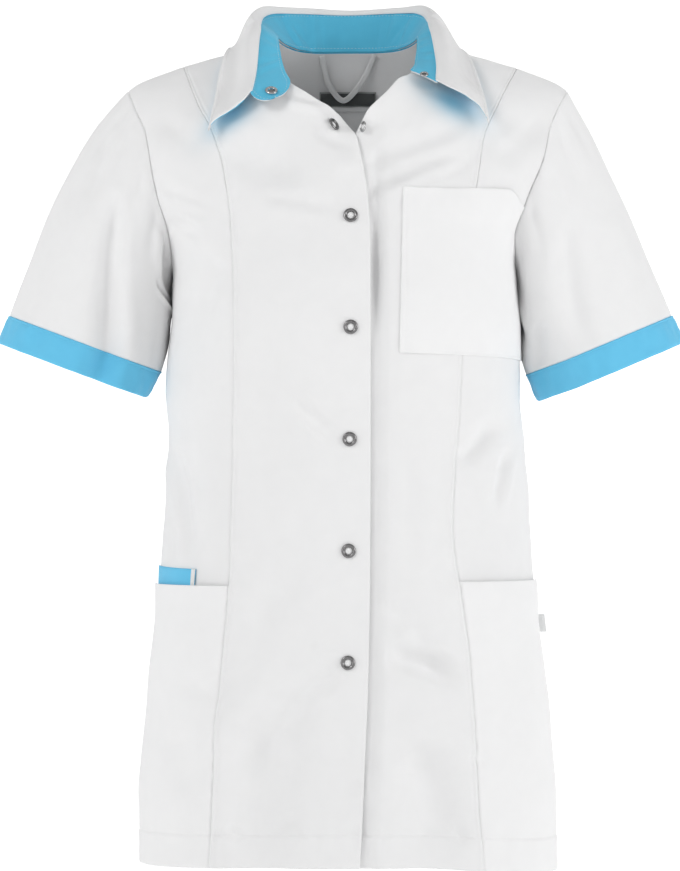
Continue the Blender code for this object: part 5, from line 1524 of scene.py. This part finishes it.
def sideTag():
    # a small bare folded tag in the left side seam
    rows = []
    for z in np.linspace(sideTab["top"] - sideTab["height"], sideTab["top"], 10):
        start = float(sideWidth["left"](z)) + .0018
        rows.append([(start + sideTab["reach"] * k, .0002 * math.sin(9 * k), z)
                     for k in np.linspace(0, 1, 8)])
    grid = np.array(rows)
    grid[..., 1] -= sideTab["thickness"] / 2
    facing = np.zeros(grid.shape)
    facing[..., 1] = -1
    return shell("sideTag", grid, facing, sideTab["thickness"], "whiteTape", ["side_label"])


panels["label"] = neckLabel()
panels["loop"] = hangingLoop()
panels["tag"] = sideTag()
print("labels and loop made")


# Stage, lights and camera

studio = {"floorZ": -2.0, "reach": 18.0, "wallY": 11.0, "floorGlow": .30, "wallGlow": .62,
          "camera": (-.007, -5.0, -.3426), "lens": 236.2, "world": .44, "horizon": .80}


def areaLight(name, place, target, size, power):
    light = bpy.data.lights.new(name, "AREA")
    light.shape = "RECTANGLE"
    light.size, light.size_y = size
    light.energy = power
    lamp = bpy.data.objects.new(name, light)
    lamp.location = place
    bpy.context.scene.collection.objects.link(lamp)
    way = np.array(target, float) - np.array(place, float)
    lamp.rotation_euler = Vector(way).to_track_quat("-Z", "Y").to_euler()


def paleMaterial(name, glow):
    return newMaterial(name, {"Base Color": (.92, .92, .92, 1), "Roughness": .9,
                              "Emission Color": (1, 1, 1, 1), "Emission Strength": glow})[0]


def stageFloor():
    # a wide pale floor that curves up into a wall far behind
    low, far, reach, bend = studio["floorZ"], studio["wallY"], studio["reach"], 2.0
    profile = [(-reach, low), (far - bend, low)]
    profile += [(far - bend * (1 - math.sin(a)), low + bend * (1 - math.cos(a)))
                for a in np.linspace(.1, math.pi / 2, 12)]
    profile.append((far, 6.0))
    points, faces = [], []
    for y, z in profile:
        points += [(-reach, y, z), (reach, y, z)]
    for i in range(len(profile) - 1):
        faces.append((2 * i, 2 * i + 1, 2 * i + 3, 2 * i + 2))
    mesh = bpy.data.meshes.new("paleSweep")
    mesh.from_pydata(points, [], faces)
    mesh.shade_smooth()
    mesh.materials.append(paleMaterial("paleFloor", studio["floorGlow"]))
    mesh.materials.append(paleMaterial("paleWall", studio["wallGlow"]))
    mesh.polygons.foreach_set("material_index", [0] + [1] * (len(faces) - 1))
    sweep = bpy.data.objects.new("paleSweep", mesh)
    bpy.context.scene.collection.objects.link(sweep)


def softWorld():
    # even light, a little brighter along the horizon
    world = bpy.data.worlds.new("softStudio")
    world.use_nodes = True
    tree = world.node_tree
    place = addNode(tree, "TexCoord")
    parts = addNode(tree, "SeparateXYZ", sources={0: place.outputs["Generated"]})
    band = addNode(tree, "MapRange", {"From Min": .06, "From Max": .30, "To Min": studio["horizon"],
                                      "To Max": studio["world"]},
                   {"Value": mathNode(tree, "ABSOLUTE", parts.outputs[2])})
    light = tree.nodes["Background"]
    light.inputs[0].default_value = (1, 1, 1, 1)
    tree.links.new(band.outputs[0], light.inputs[1])
    bpy.context.scene.world = world


lamps = {  # place, target, size, power
    "keyLight": ((-1.7, -1.8, 1.3), (0, 0, -.28), (.9, .9), 20),
    "sideLight": ((2.8, -1.5, .4), (0, 0, -.26), (1.4, 1.4), 36),
    "fillLight": ((-2.8, -1.1, -.1), (0, 0, -.30), (1.4, 1.4), 10),
    "topLight": ((0, .6, 2.2), (0, 0, -.2), (2.4, 1.4), 2),
    "backLight": ((.9, 2.6, 1.5), (0, 0, -.3), (2.0, 1.6), 9),
}


def lightsAndCamera():
    softWorld()
    for name, (place, target, size, power) in lamps.items():
        areaLight(name, place, target, size, power)
    camera = bpy.data.cameras.new("photoCamera")
    camera.lens = studio["lens"]
    camera.sensor_width = 36
    camera.clip_end = 60
    eye = bpy.data.objects.new("photoCamera", camera)
    eye.location = studio["camera"]
    eye.rotation_euler = (math.pi / 2, 0, 0)
    bpy.context.scene.collection.objects.link(eye)
    bpy.context.scene.camera = eye
    bpy.context.scene.view_settings.view_transform = "Standard"


stageFloor()
lightsAndCamera()
print("stage, lights and camera set")
